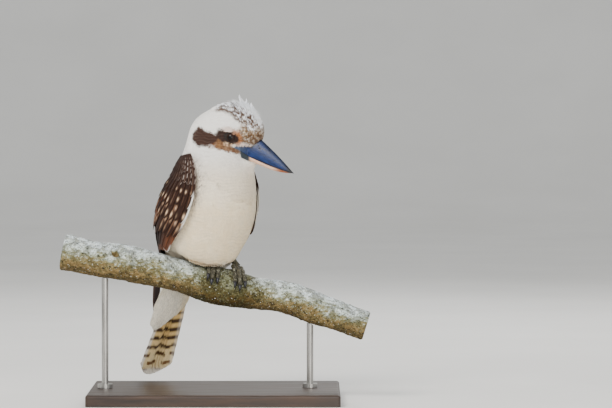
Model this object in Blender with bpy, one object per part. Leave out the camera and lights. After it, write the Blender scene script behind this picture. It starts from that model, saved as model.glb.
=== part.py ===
"""A laughing kookaburra, life size, as a still museum model on a short cut branch over a plain stand.

Units are metres, +Z is up, and the display's front looks along -Y. The origin is the middle of the
base's underside. The bird is one smooth field of blended ellipsoids, meshed and parted with thin cuts.
"""

import math

import bmesh
import bpy
import numpy as np
from mathutils import Vector

GAP = 0.0003  # between neighbouring solids
TINY = 1e-9


class Frame:
    """A place on the bird: local axes are forward, right-hand side and up."""

    def __init__(self, origin, yaw, pitch):
        ahead = np.array([math.sin(yaw), -math.cos(yaw), 0.0])
        right = np.array([-math.cos(yaw), -math.sin(yaw), 0.0])
        up = np.array([0.0, 0.0, 1.0])
        forward = math.cos(pitch) * ahead - math.sin(pitch) * up
        upward = math.sin(pitch) * ahead + math.cos(pitch) * up
        self.origin = np.array(origin, float)
        self.axes = np.array([forward, right, upward])

    def world(self, points):
        return np.asarray(points, float) @ self.axes + self.origin

    def local(self, points):
        return (np.asarray(points, float) - self.origin) @ self.axes.T


# The stand and the perch
BASE_SIZE = (0.300, 0.200, 0.014)
BASE_BEVEL = 0.003
ROD_RADIUS = 0.004
ROD_SIDES = 20
ROD_X = (-0.132, 0.114)
COLLAR_RADIUS = 0.009
COLLAR_HEIGHT = 0.005
PERCH_HALF = 0.182
PERCH_RADIUS = 0.0203
PERCH_TAPER = 0.010
PERCH_STEPS = 25
PERCH_SIDES = 16

# The bird's frames: the body leans forward over the perch and the head is turned further right
BODY = Frame((-0.010, 0.014, 0.215), math.radians(40), math.radians(20))
HEAD = Frame((0.031, -0.012, 0.3125), math.radians(60), math.radians(22))
TAIL_YAW = math.radians(40)
TAIL_PITCH = math.radians(27)
TAIL_ROOT = (-0.0390, 0.0500, 0.1540)
TAIL = Frame(TAIL_ROOT, TAIL_YAW, TAIL_PITCH)
TAIL_LENGTH = 0.151

# Flesh and plumage masses: frame, centre, radii and how widely each blends into the rest
BLOBS = (
    (BODY, (0.004, 0.0, 0.020), (0.053, 0.051, 0.056), 0.020),
    (BODY, (0.004, 0.0, -0.020), (0.050, 0.050, 0.043), 0.020),
    (BODY, (-0.013, 0.0, 0.002), (0.043, 0.046, 0.060), 0.018),
    (BODY, (0.004, 0.0, 0.058), (0.040, 0.040, 0.046), 0.020),
    (TAIL, (0.000, 0.0, 0.012), (0.019, 0.024, 0.046), 0.022),
    (HEAD, (-0.026, 0.0, -0.032), (0.036, 0.036, 0.044), 0.020),
    (HEAD, (-0.016, 0.0, 0.006), (0.034, 0.031, 0.031), 0.014),
    (HEAD, (0.004, 0.0, 0.012), (0.0225, 0.0165, 0.023), 0.010),
    (HEAD, (-0.032, 0.0, -0.008), (0.032, 0.031, 0.027), 0.014),
    (HEAD, (-0.010, 0.0, -0.020), (0.030, 0.027, 0.022), 0.014),
    (HEAD, (0.012, 0.0, -0.018), (0.018, 0.012, 0.008), 0.010),
)


def ellipsoid(points, frame, centre, radii):
    local = frame.local(points) - np.array(centre)
    radii = np.array(radii)
    near = np.linalg.norm(local / radii, axis=1)
    slope = np.linalg.norm(local / radii**2, axis=1)
    return near * (near - 1) / np.maximum(slope, TINY)


def smooth_min(a, b, width):
    share = np.clip(0.5 + 0.5 * (b - a) / width, 0, 1)
    return b * (1 - share) + a * share - width * share * (1 - share)


def plumage(points):
    """Distance, about, from the plumage's outer surface: negative inside."""
    value = None
    for frame, centre, radii, blend in BLOBS:
        found = ellipsoid(points, frame, centre, radii)
        value = found if value is None else smooth_min(value, found, blend)
    return value


def gradient(field, points, step=1e-4):
    """Unit outward directions of a field, by central differences."""
    slopes = []
    for axis in range(3):
        shift = np.zeros(3)
        shift[axis] = step
        slopes.append(field(points + shift) - field(points - shift))
    slopes = np.stack(slopes, axis=1) / (2 * step)
    return slopes / np.maximum(np.linalg.norm(slopes, axis=1, keepdims=True), TINY)


def surface_net(field, low, high, step):
    """Points and quads of the closed surface where a field is zero, on a grid of that step."""
    lines = [np.arange(l, h + step, step) for l, h in zip(low, high)]
    grid = np.stack(np.meshgrid(*lines, indexing="ij"), axis=-1)
    value = field(grid.reshape(-1, 3)).reshape(grid.shape[:3])
    inside = value < 0
    cells = np.array(inside.shape) - 1
    total = np.zeros((*cells, 3))
    hits = np.zeros(cells)
    quads = []
    for axis in range(3):
        first = [slice(None)] * 3
        last = [slice(None)] * 3
        first[axis], last[axis] = slice(0, -1), slice(1, None)
        first, last = tuple(first), tuple(last)
        places = np.argwhere(inside[first] != inside[last])
        at = tuple(places.T)
        a, b = value[first][at], value[last][at]
        share = (a / (a - b))[:, None]
        crossing = grid[first][at] * (1 - share) + grid[last][at] * share
        u, v = (axis + 1) % 3, (axis + 2) % 3
        around = []
        for back_u, back_v in ((0, 0), (1, 0), (1, 1), (0, 1)):
            cell = places.copy()
            cell[:, u] -= back_u
            cell[:, v] -= back_v
            np.add.at(total, tuple(cell.T), crossing)
            np.add.at(hits, tuple(cell.T), 1)
            around.append(np.ravel_multi_index(tuple(cell.T), cells))
        around = np.stack(around, axis=1)
        leaving = inside[first][at]
        quads.append(np.where(leaving[:, None], around, around[:, ::-1]))
    quads = np.concatenate(quads)
    used, index = np.unique(quads, return_inverse=True)
    points = (total / np.maximum(hits, 1)[..., None]).reshape(-1, 3)[used]
    return points, index.reshape(-1, 4)


def settled(field, points, quads, rounds=3):
    """Points evened out along the surface and brought back onto it."""
    ends = np.concatenate([quads[:, [i, (i + 1) % 4]] for i in range(4)])
    for _ in range(rounds):
        total = np.zeros_like(points)
        count = np.zeros(len(points))
        np.add.at(total, ends[:, 0], points[ends[:, 1]])
        np.add.at(count, ends[:, 0], 1)
        points = 0.5 * points + 0.5 * total / count[:, None]
        for _ in range(3):
            points = points - field(points)[:, None] * gradient(field, points)
    return points


def add_object(name, points, faces, material):
    mesh = bpy.data.meshes.new(name)
    mesh.from_pydata([tuple(p) for p in points], [], [tuple(int(i) for i in f) for f in faces])
    mesh.materials.append(material)
    mesh.shade_smooth()
    mesh.set_sharp_from_angle(angle=math.radians(50))
    made = bpy.data.objects.new(name, mesh)
    bpy.context.collection.objects.link(made)
    return made


def make_material(name, colour, roughness, metallic=0.0):
    made = bpy.data.materials.new(name)
    made.use_nodes = True
    shader = made.node_tree.nodes["Principled BSDF"]
    shader.inputs["Base Color"].default_value = (*colour, 1.0)
    shader.inputs["Roughness"].default_value = roughness
    shader.inputs["Metallic"].default_value = metallic
    made.diffuse_color = (*colour, 1.0)
    return made


def cut_away(made, point, normal):
    """Removes what lies beyond a plane and closes the cut."""
    shape = bmesh.new()
    shape.from_mesh(made.data)
    geometry = shape.verts[:] + shape.edges[:] + shape.faces[:]
    cut = bmesh.ops.bisect_plane(
        shape, geom=geometry, plane_co=Vector(point), plane_no=Vector(normal), clear_outer=True
    )
    rim = [e for e in cut["geom_cut"] if isinstance(e, bmesh.types.BMEdge)]
    bmesh.ops.contextual_create(shape, geom=rim)
    bmesh.ops.triangulate(shape, faces=shape.faces[:])
    bmesh.ops.recalc_face_normals(shape, faces=shape.faces[:])
    shape.to_mesh(made.data)
    shape.free()


def apply_modifiers(made):
    bpy.context.view_layer.update()
    graph = bpy.context.evaluated_depsgraph_get()
    shape = bpy.data.meshes.new_from_object(made.evaluated_get(graph))
    old = made.data
    made.modifiers.clear()
    made.data = shape
    bpy.data.meshes.remove(old)


def combine(made, others, operation="UNION", solver="EXACT"):
    """Joins closed meshes to a node, or cuts them from it, with one Boolean."""
    pieces = bpy.data.collections.new(made.name + "_pieces")
    bpy.context.scene.collection.children.link(pieces)
    for other in others:
        bpy.context.collection.objects.unlink(other)
        pieces.objects.link(other)
    change = made.modifiers.new(operation.lower(), "BOOLEAN")
    change.operation = operation
    change.operand_type = "COLLECTION"
    change.collection = pieces
    change.solver = solver
    apply_modifiers(made)
    for other in others:
        bpy.data.objects.remove(other)
    bpy.data.collections.remove(pieces)
    keep_largest(made)


def keep_largest(made):
    """Keeps the node's largest closed surface."""
    shape = bmesh.new()
    shape.from_mesh(made.data)
    bmesh.ops.triangulate(shape, faces=shape.faces[:])
    shape.verts.ensure_lookup_table()
    left = set(shape.verts)
    groups = []
    while left:
        start = left.pop()
        group, front = {start}, [start]
        while front:
            for edge in front.pop().link_edges:
                for vert in edge.verts:
                    if vert in left:
                        left.remove(vert)
                        group.add(vert)
                        front.append(vert)
        groups.append(group)
    groups.sort(key=len)
    for group in groups[:-1]:
        bmesh.ops.delete(shape, geom=list(group), context="VERTS")
    shape.to_mesh(made.data)
    shape.free()


def tube(path, radii, sides, flatten=None):
    """Points and faces of a round-ended rod swept along a path."""
    path = np.array(path, float)
    count = len(path)
    along = np.gradient(path, axis=0)
    along /= np.linalg.norm(along, axis=1, keepdims=True)
    guide = np.array((0.0, 0.0, 1.0)) if abs(along[:, 2]).mean() < 0.8 else np.array((0.0, 1.0, 0.0))
    side = np.cross(along, guide)
    side /= np.linalg.norm(side, axis=1, keepdims=True)
    rise = np.cross(side, along)
    turns = np.arange(sides) * 2 * math.pi / sides
    radii = np.broadcast_to(np.asarray(radii, float), (count,))
    flat = 1.0 if flatten is None else flatten
    rings = (
        path[:, None, :]
        + radii[:, None, None] * np.cos(turns)[None, :, None] * side[:, None, :]
        + radii[:, None, None] * flat * np.sin(turns)[None, :, None] * rise[:, None, :]
    )
    points = np.concatenate(
        [rings.reshape(-1, 3), [path[0] - along[0] * radii[0] * 0.5, path[-1] + along[-1] * radii[-1] * 0.5]]
    )
    faces = []
    for i in range(count - 1):
        for j in range(sides):
            k = (j + 1) % sides
            faces.append((i * sides + j, (i + 1) * sides + j, (i + 1) * sides + k, i * sides + k))
    first, last = count * sides, count * sides + 1
    top = (count - 1) * sides
    for j in range(sides):
        k = (j + 1) % sides
        faces.append((first, j, k))
        faces.append((last, top + k, top + j))
    return points, faces


def loft(rings):
    """Points and faces of a solid through closed rings of equal count, capped at both ends."""
    rings = np.array(rings, float)
    count, sides = rings.shape[:2]
    faces = [tuple(range(sides)), tuple(reversed(range((count - 1) * sides, count * sides)))]
    for i in range(count - 1):
        for j in range(sides):
            k = (j + 1) % sides
            faces.append((i * sides + j, (i + 1) * sides + j, (i + 1) * sides + k, i * sides + k))
    return rings.reshape(-1, 3), faces


def plate(centres, sides, normals, halves, thickness):
    """A thin vane through its centre points, split into triangles alike on both faces."""
    centres, sides, normals = (np.asarray(a, float) for a in (centres, sides, normals))
    reach = sides * np.asarray(halves)[:, None]
    rise = normals * thickness / 2
    points = np.stack(
        [centres - reach + rise, centres + reach + rise, centres + reach - rise, centres - reach - rise],
        axis=1,
    ).reshape(-1, 3)
    faces = [(0, 1, 2), (0, 2, 3)]
    count = len(centres)
    for i in range(count - 1):
        a, b = 4 * i, 4 * i + 4
        faces += [(a, b + 1, a + 1), (a, b, b + 1)]
        faces += [(a + 3, a + 2, b + 2), (a + 3, b + 2, b + 3)]
        faces += [(a + 1, b + 1, b + 2), (a + 1, b + 2, a + 2)]
        faces += [(a, a + 3, b + 3), (a, b + 3, b)]
    end = 4 * (count - 1)
    faces += [(end, end + 2, end + 1), (end, end + 3, end + 2)]
    return points, faces


def closed_object(name, points, faces, material):
    """A mesh object with its triangles facing out."""
    made = add_object(name, points, faces, material)
    shape = bmesh.new()
    shape.from_mesh(made.data)
    bmesh.ops.triangulate(shape, faces=shape.faces[:])
    bmesh.ops.recalc_face_normals(shape, faces=shape.faces[:])
    shape.to_mesh(made.data)
    shape.free()
    return made


def curve_through(controls, shares):
    """Points on the smooth Bezier curve of a few control points."""
    controls = np.array(controls, float)
    degree = len(controls) - 1
    shares = np.asarray(shares, float)[:, None]
    total = 0
    for i, control in enumerate(controls):
        weight = math.comb(degree, i) * shares**i * (1 - shares) ** (degree - i)
        total = total + weight * control
    return total


# The perch: a sloping branch with a swelling under the feet
def perch_centre(x):
    x = np.asarray(x, float)
    z = 0.138 - 0.243 * x - 0.15 * x**2
    z = z + 0.0060 * np.exp(-(((x - 0.090) / 0.045) ** 2)) + 0.0028 * np.exp(-(((x + 0.085) / 0.040) ** 2))
    y = 0.004 * np.sin(x * 14.0)
    return np.stack([x, y, z], axis=-1)


def perch_axes(x):
    """Unit directions along the perch and up from it."""
    step = 1e-3
    along = perch_centre(x + step) - perch_centre(x - step)
    along = along / np.linalg.norm(along, axis=-1, keepdims=True)
    front = np.array([0.0, -1.0, 0.0])
    up = np.cross(front, along)
    up = up / np.linalg.norm(up, axis=-1, keepdims=True)
    return along, np.cross(along, up), up


def perch_radius(x, turn):
    """The bark's radius: round, tapering, with a knot under the feet and a few slow bumps."""
    x = np.asarray(x, float)
    knot = 0.0022 * np.exp(-(((x - 0.012) / 0.030) ** 2)) * (1 - 0.4 * np.cos(turn))
    bumps = 0.0008 * np.sin(61 * x + 1.3) * np.cos(2 * turn) + 0.0006 * np.sin(97 * x + 3 * turn)
    return PERCH_RADIUS - PERCH_TAPER * x + knot + bumps


def on_perch(x, turn, height=0.0):
    """A point at a turn round the perch: 0 is its top and positive turns face the front."""
    x, turn, height = np.broadcast_arrays(np.asarray(x, float), np.asarray(turn, float), height)
    _, front, up = perch_axes(x)
    radius = (perch_radius(x, turn) + height)[..., None]
    return perch_centre(x) + radius * (np.sin(turn)[..., None] * front + np.cos(turn)[..., None] * up)


def perch_distance(points):
    centre = perch_centre(points[:, 0])
    _, front, up = perch_axes(points[:, 0])
    off = points - centre
    across = np.stack([(off * front).sum(1), (off * up).sum(1)], axis=1)
    return np.linalg.norm(across, axis=1) - (PERCH_RADIUS - PERCH_TAPER * points[:, 0])


BELLY_CLEARANCE = 0.0085


def trunk(points):
    """The plumage with room left for the perch and the feet."""
    room = BELLY_CLEARANCE - perch_distance(points)
    return -smooth_min(-plumage(points), -room, 0.008)


def build_perch(bark):
    turns = np.arange(PERCH_SIDES) * 2 * math.pi / PERCH_SIDES
    places = np.linspace(-PERCH_HALF, PERCH_HALF, PERCH_STEPS)
    rings = [on_perch(np.full(PERCH_SIDES, x), turns) for x in places]
    made = closed_object("perch", *loft(rings), bark)
    root = on_perch(-0.118, math.radians(60), -0.008)
    tip = on_perch(-0.122, math.radians(60), 0.009)
    stub = closed_object("stub", *tube(np.linspace(root, tip, 3), (0.0052, 0.0045, 0.0036), 9), bark)
    combine(made, [stub])


# The stand: a bevelled board and two rods with collars, up to the perch's underside
def build_stand(board, metal):
    half = [side / 2 for side in BASE_SIZE]
    shape = bmesh.new()
    bmesh.ops.create_cube(shape, size=1.0)
    bmesh.ops.scale(shape, vec=Vector(BASE_SIZE), verts=shape.verts[:])
    bmesh.ops.translate(shape, vec=Vector((0, 0, half[2])), verts=shape.verts[:])
    top = [e for e in shape.edges if sum(v.co.z > half[2] for v in e.verts) >= 1]
    bmesh.ops.bevel(shape, geom=top, offset=BASE_BEVEL, segments=3, profile=0.5, affect="EDGES")
    bmesh.ops.triangulate(shape, faces=shape.faces[:])
    mesh = bpy.data.meshes.new("stand_base")
    shape.to_mesh(mesh)
    shape.free()
    mesh.materials.append(board)
    bpy.context.collection.objects.link(bpy.data.objects.new("stand_base", mesh))
    for name, x in zip(("stand_rod_left", "stand_rod_right"), ROD_X):
        foot = BASE_SIZE[2] + GAP
        y = float(perch_centre(x)[1])
        turns = np.arange(ROD_SIDES) * 2 * math.pi / ROD_SIDES
        ring = np.stack([np.cos(turns), np.sin(turns)], axis=1)
        heights = ((foot, COLLAR_RADIUS), (foot + COLLAR_HEIGHT, COLLAR_RADIUS))
        heights += ((foot + COLLAR_HEIGHT, ROD_RADIUS),)
        rings = [
            np.column_stack([x + r * ring[:, 0], y + r * ring[:, 1], np.full(ROD_SIDES, z)])
            for z, r in heights
        ]
        outer = x + ROD_RADIUS * ring[:, 0]
        depth = ROD_RADIUS * ring[:, 1]
        top_z = np.array([underside(a, b) for a, b in zip(outer, depth)]) - GAP
        rings.append(np.column_stack([outer, y + depth, top_z]))
        closed_object(name, *loft(rings), metal)


def underside(x, depth):
    """The height of the perch's lower surface at a place along it and a depth off its axis."""
    radius = float(perch_radius(x, math.pi))
    along, _, _ = perch_axes(x)
    drop = math.sqrt(radius**2 - depth**2) / float(along[0])
    return float(perch_centre(x)[2]) - drop


# The bill, in the head's frame: the culmen, the mouth line and the keel against the distance forward
BILL_START, BILL_TIP, LOWER_TIP = 0.005, 0.0828, 0.0795
GAPE_X = 0.007


def bill_share(x):
    return np.clip((np.asarray(x, float) - GAPE_X) / (BILL_TIP - GAPE_X), 0, 1)


def culmen(x):
    fore = np.clip((x - 0.0276) / (BILL_TIP - 0.0276), 0, 1)
    back = np.clip((0.0276 - x) / 0.0226, 0, 1)
    return 0.0110 + 0.0010 * back - 0.0198 * fore + 0.0010 * np.sin(math.pi * fore)


def mouth(x):
    share = bill_share(x)
    return -0.0108 - 0.0012 * np.sin(math.pi * share) + 0.0015 * share**3


def keel(x):
    share = np.clip((np.asarray(x, float) - BILL_START) / (LOWER_TIP - BILL_START), 0, 1)
    return mouth(x) - 0.0054 * (1 - share**4.5) - 0.0004


def bill_half(x):
    return 0.0128 * (1 - bill_share(x)) ** 0.78 + 0.0004


def arc(half, height, count, power):
    """Half of a rounded section, from its right edge over the top to its left edge."""
    turns = np.linspace(0, math.pi, count)
    across = half * np.sign(np.cos(turns)) * np.abs(np.cos(turns)) ** (2 / power)
    up = height * np.sin(turns) ** (2 / power)
    return np.stack([across, up], axis=1)


def bill_rings(places, top, bottom, half, power, count):
    rings = []
    for x in places:
        lower = bottom(x)
        section = arc(half(x), top(x) - lower, count, power)
        rings.append(np.column_stack([np.full(count, x), section[:, 0], lower + section[:, 1]]))
    return [HEAD.world(ring) for ring in rings]


def build_bill(horn, pale):
    count = 11
    ease = np.linspace(0, 1, 16) ** 0.85
    places = BILL_START + (BILL_TIP - BILL_START) * ease
    rings = bill_rings(places, culmen, lambda x: mouth(x) + GAP / 2, bill_half, 1.55, count)
    upper = closed_object("bill_upper", *loft(rings), horn)
    slits = []
    for side in (-1, 1):
        slit = [(x, side * 0.0072, 0.0021 + 0.0006 * i) for i, x in enumerate((0.0305, 0.0325, 0.0345, 0.0365))]
        slits.append(closed_object("slit", *tube(HEAD.world(slit), (0.0006, 0.0010, 0.0010, 0.0006), 6), horn))
    combine(upper, slits, "DIFFERENCE")
    places = BILL_START + (LOWER_TIP - BILL_START) * ease
    rings = bill_rings(places, keel, lambda x: mouth(x) - GAP / 2, lambda x: 0.93 * bill_half(x), 2.2, count)
    closed_object("bill_lower", *loft(rings), pale)


def bill_room():
    """The bill's outline with a clearance, which the head is cut by."""
    clear = 0.0006
    rings = []
    for x in BILL_START - clear + (0.060 - BILL_START) * np.linspace(0, 1, 10):
        held = max(x, BILL_START)
        upper = arc(bill_half(held) + clear, culmen(held) - mouth(held) + 2 * clear, 13, 1.55)
        lower = arc(bill_half(held) + clear, mouth(held) - keel(held) + 2 * clear, 13, 2.2)
        upper = upper + (0, mouth(held))
        lower = lower[::-1][1:-1] * (1, -1) + (0, mouth(held))
        ring = np.concatenate([upper, lower])
        rings.append(HEAD.world(np.column_stack([np.full(len(ring), x), ring])))
    return loft(rings)


HEAD_STEP = 0.0066
TRUNK_STEP = 0.0084
BIRD_LOW = (-0.125, -0.115, 0.060)
BIRD_HIGH = (0.130, 0.125, 0.380)

# Where thin cuts part the plumage: the head from the neck, the neck from the torso, the torso from the tail
HEAD_CUT = (HEAD.world((0.020, 0.0, -0.031)), HEAD.axes[2] * 0.995 - HEAD.axes[0] * 0.10)
NECK_CUT = (BODY.world((0.0, 0.0, 0.046)), BODY.axes[2])
TAIL_CUT = (TAIL.world((0.0, 0.0, -0.008)), -TAIL.axes[2])
EYE_RADIUS = 0.0066
EYE_PLACE = (-0.0005, 0.0222, 0.0033)
EYE_LOOK = (0.30, 0.95, 0.08)
LID_RADIUS = 0.0062
LID_THICKNESS = 0.0011


def plane_side(points, cut):
    point, normal = cut
    normal = normal / np.linalg.norm(normal)
    return (points - point) @ normal


def flesh_node(name, field, step, cuts, material):
    """The field's surface, trimmed by planes that each leave half a gap."""
    margin = 2 * step

    def boxed(points):
        value = field(points)
        for cut in cuts:
            value = np.maximum(value, plane_side(points, cut) - margin)
        return value

    points, quads = surface_net(boxed, BIRD_LOW, BIRD_HIGH, step)
    inside = np.max([plane_side(points, cut) for cut in cuts], axis=0) < margin - step
    moved = settled(field, points, quads)
    points = np.where(inside[:, None], moved, points)
    made = closed_object(name, points, quads, material)
    for point, normal in cuts:
        normal = normal / np.linalg.norm(normal)
        cut_away(made, point - normal * GAP / 2, normal)
    return made


def mirrored(vector, side):
    return np.array(vector, float) * (1, side, 1)


def build_head(cream, white, dark):
    cuts = [(HEAD_CUT[0], -HEAD_CUT[1])]
    head = flesh_node("head", plumage, HEAD_STEP, cuts, cream)
    added = crest_locks(white)
    for side in (-1, 1):
        centre = mirrored(EYE_PLACE, side)
        look = mirrored(EYE_LOOK, side)
        look = look / np.linalg.norm(look)
        level = np.cross(look, (0.0, 0.0, 1.0))
        level = level / np.linalg.norm(level)
        rise = np.cross(level, look)
        turns = np.linspace(0, 2 * math.pi, 15)[:-1]
        rings = []
        for turn in turns:
            out = 1.22 * math.cos(turn) * level + 0.86 * math.sin(turn) * rise
            middle = centre + look * 0.0050 + out * LID_RADIUS
            ring = [
                middle + LID_THICKNESS * (math.cos(a) * out + 1.6 * math.sin(a) * look)
                for a in np.arange(6) * math.pi / 3
            ]
            rings.append(HEAD.world(ring))
        added.append(closed_object("lid", *ring_solid(rings), dark))
    combine(head, added, solver="MANIFOLD")
    holes = [closed_object("bill_room", *bill_room(), dark)]
    for side in (-1, 1):
        holes.append(ball("socket", HEAD.world(mirrored(EYE_PLACE, side)), EYE_RADIUS + GAP, dark))
    combine(head, holes, "DIFFERENCE", solver="MANIFOLD")
    for name, side in (("eye_right", 1), ("eye_left", -1)):
        ball(name, HEAD.world(mirrored(EYE_PLACE, side)), EYE_RADIUS, dark)


def ring_solid(rings):
    """A closed loop of equal rings, such as a lid round an eye."""
    rings = np.array(rings, float)
    count, sides = rings.shape[:2]
    faces = []
    for i in range(count):
        n = (i + 1) % count
        for j in range(sides):
            k = (j + 1) % sides
            faces.append((i * sides + j, n * sides + j, n * sides + k, i * sides + k))
    return rings.reshape(-1, 3), faces


def ball(name, centre, radius, material):
    shape = bmesh.new()
    bmesh.ops.create_icosphere(shape, subdivisions=2, radius=radius)
    bmesh.ops.translate(shape, vec=Vector(centre), verts=shape.verts[:])
    mesh = bpy.data.meshes.new(name)
    shape.to_mesh(mesh)
    shape.free()
    mesh.materials.append(material)
    mesh.shade_smooth()
    made = bpy.data.objects.new(name, mesh)
    bpy.context.collection.objects.link(made)
    return made


def crest_locks(material):
    """Raised pointed feathers of the crown, leaning back and out from the middle."""
    made = []
    rows = ((0.012, 3, 0.0085), (0.000, 3, 0.0130), (-0.013, 4, 0.0100), (-0.027, 3, 0.0060))
    for row, (x, count, length) in enumerate(rows):
        for i in range(count):
            across = (i - (count - 1) / 2) * 0.0085
            start = HEAD.world([(x, across, 0.040)])
            for _ in range(12):
                start = start - 0.6 * plumage(start)[:, None] * gradient(plumage, start)
            out = gradient(plumage, start)[0]
            back = -HEAD.axes[0]
            lie = back - out * (back @ out)
            lie = lie / np.linalg.norm(lie)
            stand = 0.75 - 0.10 * abs(i - (count - 1) / 2) + 0.12 * math.sin(5 * row + 3 * i)
            way = out * stand + lie * (1.1 - stand) + HEAD.axes[1] * across * 18
            way = way / np.linalg.norm(way)
            side = np.cross(way, lie if abs(way @ out) > 0.95 else out)
            side = side / np.linalg.norm(side)
            face = np.cross(side, way)
            size = length * (1 + 0.15 * math.sin(7 * i + 2 * row))
            shares = np.array((-0.35, 0.15, 0.6, 1.0))
            centres = [start[0] + way * size * s + lie * size * 0.25 * max(s, 0) ** 2 for s in shares]
            halves = (0.0021, 0.0025, 0.0017, 0.0003)
            shape = plate(centres, [side] * 4, [face] * 4, halves, 0.0009)
            made.append(closed_object("lock", *shape, material))
    return made


# Wings: one curved sheet each, in the body's frame, from the bend (0) to the tips (1) and from the
# leading edge at the flank (0) to the edge along the back (1)
WING_LEAD = ((0.001, 0.042, 0.074), (0.062, 0.068, 0.033), (-0.034, 0.028, -0.069), (-0.027, 0.023, -0.139))
WING_BACK = ((-0.036, 0.016, 0.060), (-0.064, 0.012, 0.010), (-0.062, 0.006, -0.062), (-0.039, 0.019, -0.133))
WING_CLEAR = 0.0013
PERCH_KEEP = 0.0100
VANE_KEEP = 0.0024
WING_FREE = 0.75  # past this share of its length the wing leaves the body
FAR_SLIP = 0.006  # the left wing's front edge is drawn back by this, as the bird leans
CORE_END = 0.56
CORE_LIFT = 0.0011  # of its inner face, whose facets sag between the rows


def wing_keep(points):
    """Distance to what a wing must stay clear of: the body it lies on, and the perch beside it."""
    return np.minimum(plumage(points), perch_distance(points) - PERCH_KEEP)


def wing_sheet(side, s, t, height):
    """Points and outward directions on a wing, at a height over the plumage it lies on."""
    s, t, height = (np.atleast_1d(np.asarray(a, float)) for a in (s, t, height))
    s, t, height = np.broadcast_arrays(s, t, height)
    local = curve_through(WING_LEAD, s) * (1 - t)[:, None] + curve_through(WING_BACK, s) * t[:, None]
    bulge = 4 * t * (1 - t) * np.clip((1 - s) / 0.6, 0, 1)
    local = local + np.stack([-0.006 * bulge, 0.010 * bulge, 0 * bulge], axis=1)
    if side < 0:
        local[:, 0] -= FAR_SLIP * (1 - t) * np.clip((0.45 - s) / 0.30, 0, 1)
    points = BODY.world(local * (1, side, 1))
    hold = np.clip((WING_FREE - s) / 0.25, 0, 1)
    for _ in range(8):
        short = WING_CLEAR - wing_keep(points)
        push = np.where(short > 0, short, short * hold)
        points = points + push[:, None] * gradient(wing_keep, points)
    out = gradient(plumage, points)
    return points + height[:, None] * out, out


def vane_room(points):
    return np.minimum(trunk(points) - WING_CLEAR, perch_distance(points) - VANE_KEEP)


def wing_vane(side, root, tip, half, lean, thickness=0.0007):
    """One feather on the sheet, from root to tip, each a place (s, t, height)."""
    shares = np.array((0.0, 0.45, 0.84, 1.0))
    profile = np.array((0.62, 1.0, 0.84, 0.26))
    root, tip = np.array(root), np.array(tip)
    s, t, h = (root[i] + (tip[i] - root[i]) * shares for i in range(3))
    centres, out = wing_sheet(side, s, t, h)
    along = np.gradient(centres, axis=0)
    along /= np.linalg.norm(along, axis=1, keepdims=True)
    across = np.cross(out, along)
    across /= np.linalg.norm(across, axis=1, keepdims=True)
    normal = np.cross(along, across)
    angle = lean * side
    sides = math.cos(angle) * across + math.sin(angle) * normal
    normals = np.cross(along, sides)
    for _ in range(8):
        points, faces = plate(centres, sides, normals, half * profile, thickness)
        rings = points.reshape(len(shares), -1, 3)
        steps = np.linspace(0, 1, 5)[:, None, None, None]
        samples = rings[:-1] + (rings[1:] - rings[:-1]) * steps
        room = vane_room(samples.reshape(-1, 3)).reshape(samples.shape[:3]).min(axis=(0, 2))
        if room.min() >= 0:
            break
        lack = np.maximum(-np.append(room, room[-1]), -np.insert(room, 0, room[0]))
        centres = centres + np.maximum(lack, 0)[:, None] * gradient(vane_room, centres)
    return points, faces


def core_height(s, t):
    length = np.interp(s, (0, 0.06, 0.30, 0.46, CORE_END), (0.0024, 0.0034, 0.0042, 0.0038, 0.0026))
    edge = np.clip(np.minimum(t, 1 - t) / 0.16, 0, 1)
    return CORE_LIFT + 0.0006 + (length - CORE_LIFT - 0.0006) * np.sqrt(edge)


def wing_core(name, side, material):
    rows, columns = 11, 6
    s, t = np.meshgrid(np.linspace(0, CORE_END, rows), np.linspace(0, 1, columns), indexing="ij")
    s, t = s.ravel(), t.ravel()
    outer, _ = wing_sheet(side, s, t, core_height(s, t))
    inner, _ = wing_sheet(side, s, t, CORE_LIFT)
    faces = []
    offset = rows * columns
    for i in range(rows - 1):
        for j in range(columns - 1):
            a, b = i * columns + j, (i + 1) * columns + j
            faces += [(a, b, b + 1), (a, b + 1, a + 1)]
            faces += [(a + offset, b + 1 + offset, b + offset), (a + offset, a + 1 + offset, b + 1 + offset)]
    top = [j for j in range(columns)]
    right = [i * columns + columns - 1 for i in range(rows)]
    bottom = [(rows - 1) * columns + j for j in reversed(range(columns))]
    left = [i * columns for i in reversed(range(rows))]
    rim = top + right[1:] + bottom[1:] + left[1:-1]
    for a, b in zip(rim, rim[1:] + rim[:1]):
        faces += [(a, b, b + offset), (a, b + offset, a + offset)]
    return closed_object(name, np.concatenate([outer, inner]), faces, material)


def wing_tiers():
    """Every feather of a wing: root, tip, half width and lean, by tier from the innermost out."""
    made = []
    for i in range(4):
        share = i / 3
        root = (0.46, 0.38 + 0.24 * share, 0.0020)
        tip = (1.0 - 0.13 * share**1.2, 0.38 + 0.24 * share, 0.0008 * i)
        made.append((root, tip, 0.0066, -0.45))
    for i in range(6):
        share = i / 5
        root = (0.27, 0.12 + 0.76 * share, 0.0026)
        tip = (0.56 + 0.20 * min(2.5 * share, 1.0) - 0.05 * share**3, 0.12 + 0.72 * share, 0.0058)
        made.append((root, tip, 0.0076, 0.20))
    for count, start, end, low, high, half in (
        (5, 0.16, 0.50, 0.0028, 0.0076, 0.0096),
        (5, 0.075, 0.345, 0.0024, 0.0066, 0.0092),
        (4, 0.020, 0.215, 0.0018, 0.0054, 0.0090),
    ):
        for i in range(count):
            share = i / (count - 1)
            root = (start, 0.10 + 0.80 * share, low)
            tip = (end + 0.035 * share, 0.07 + 0.84 * share, high)
            made.append((root, tip, half, 0.13))
    return made


def build_wing(name, side, brown):
    core = wing_core(name, side, brown)
    vanes = [
        closed_object("vane", *wing_vane(side, *feather), brown) for feather in wing_tiers()
    ]
    combine(core, vanes, solver="MANIFOLD")


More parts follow.
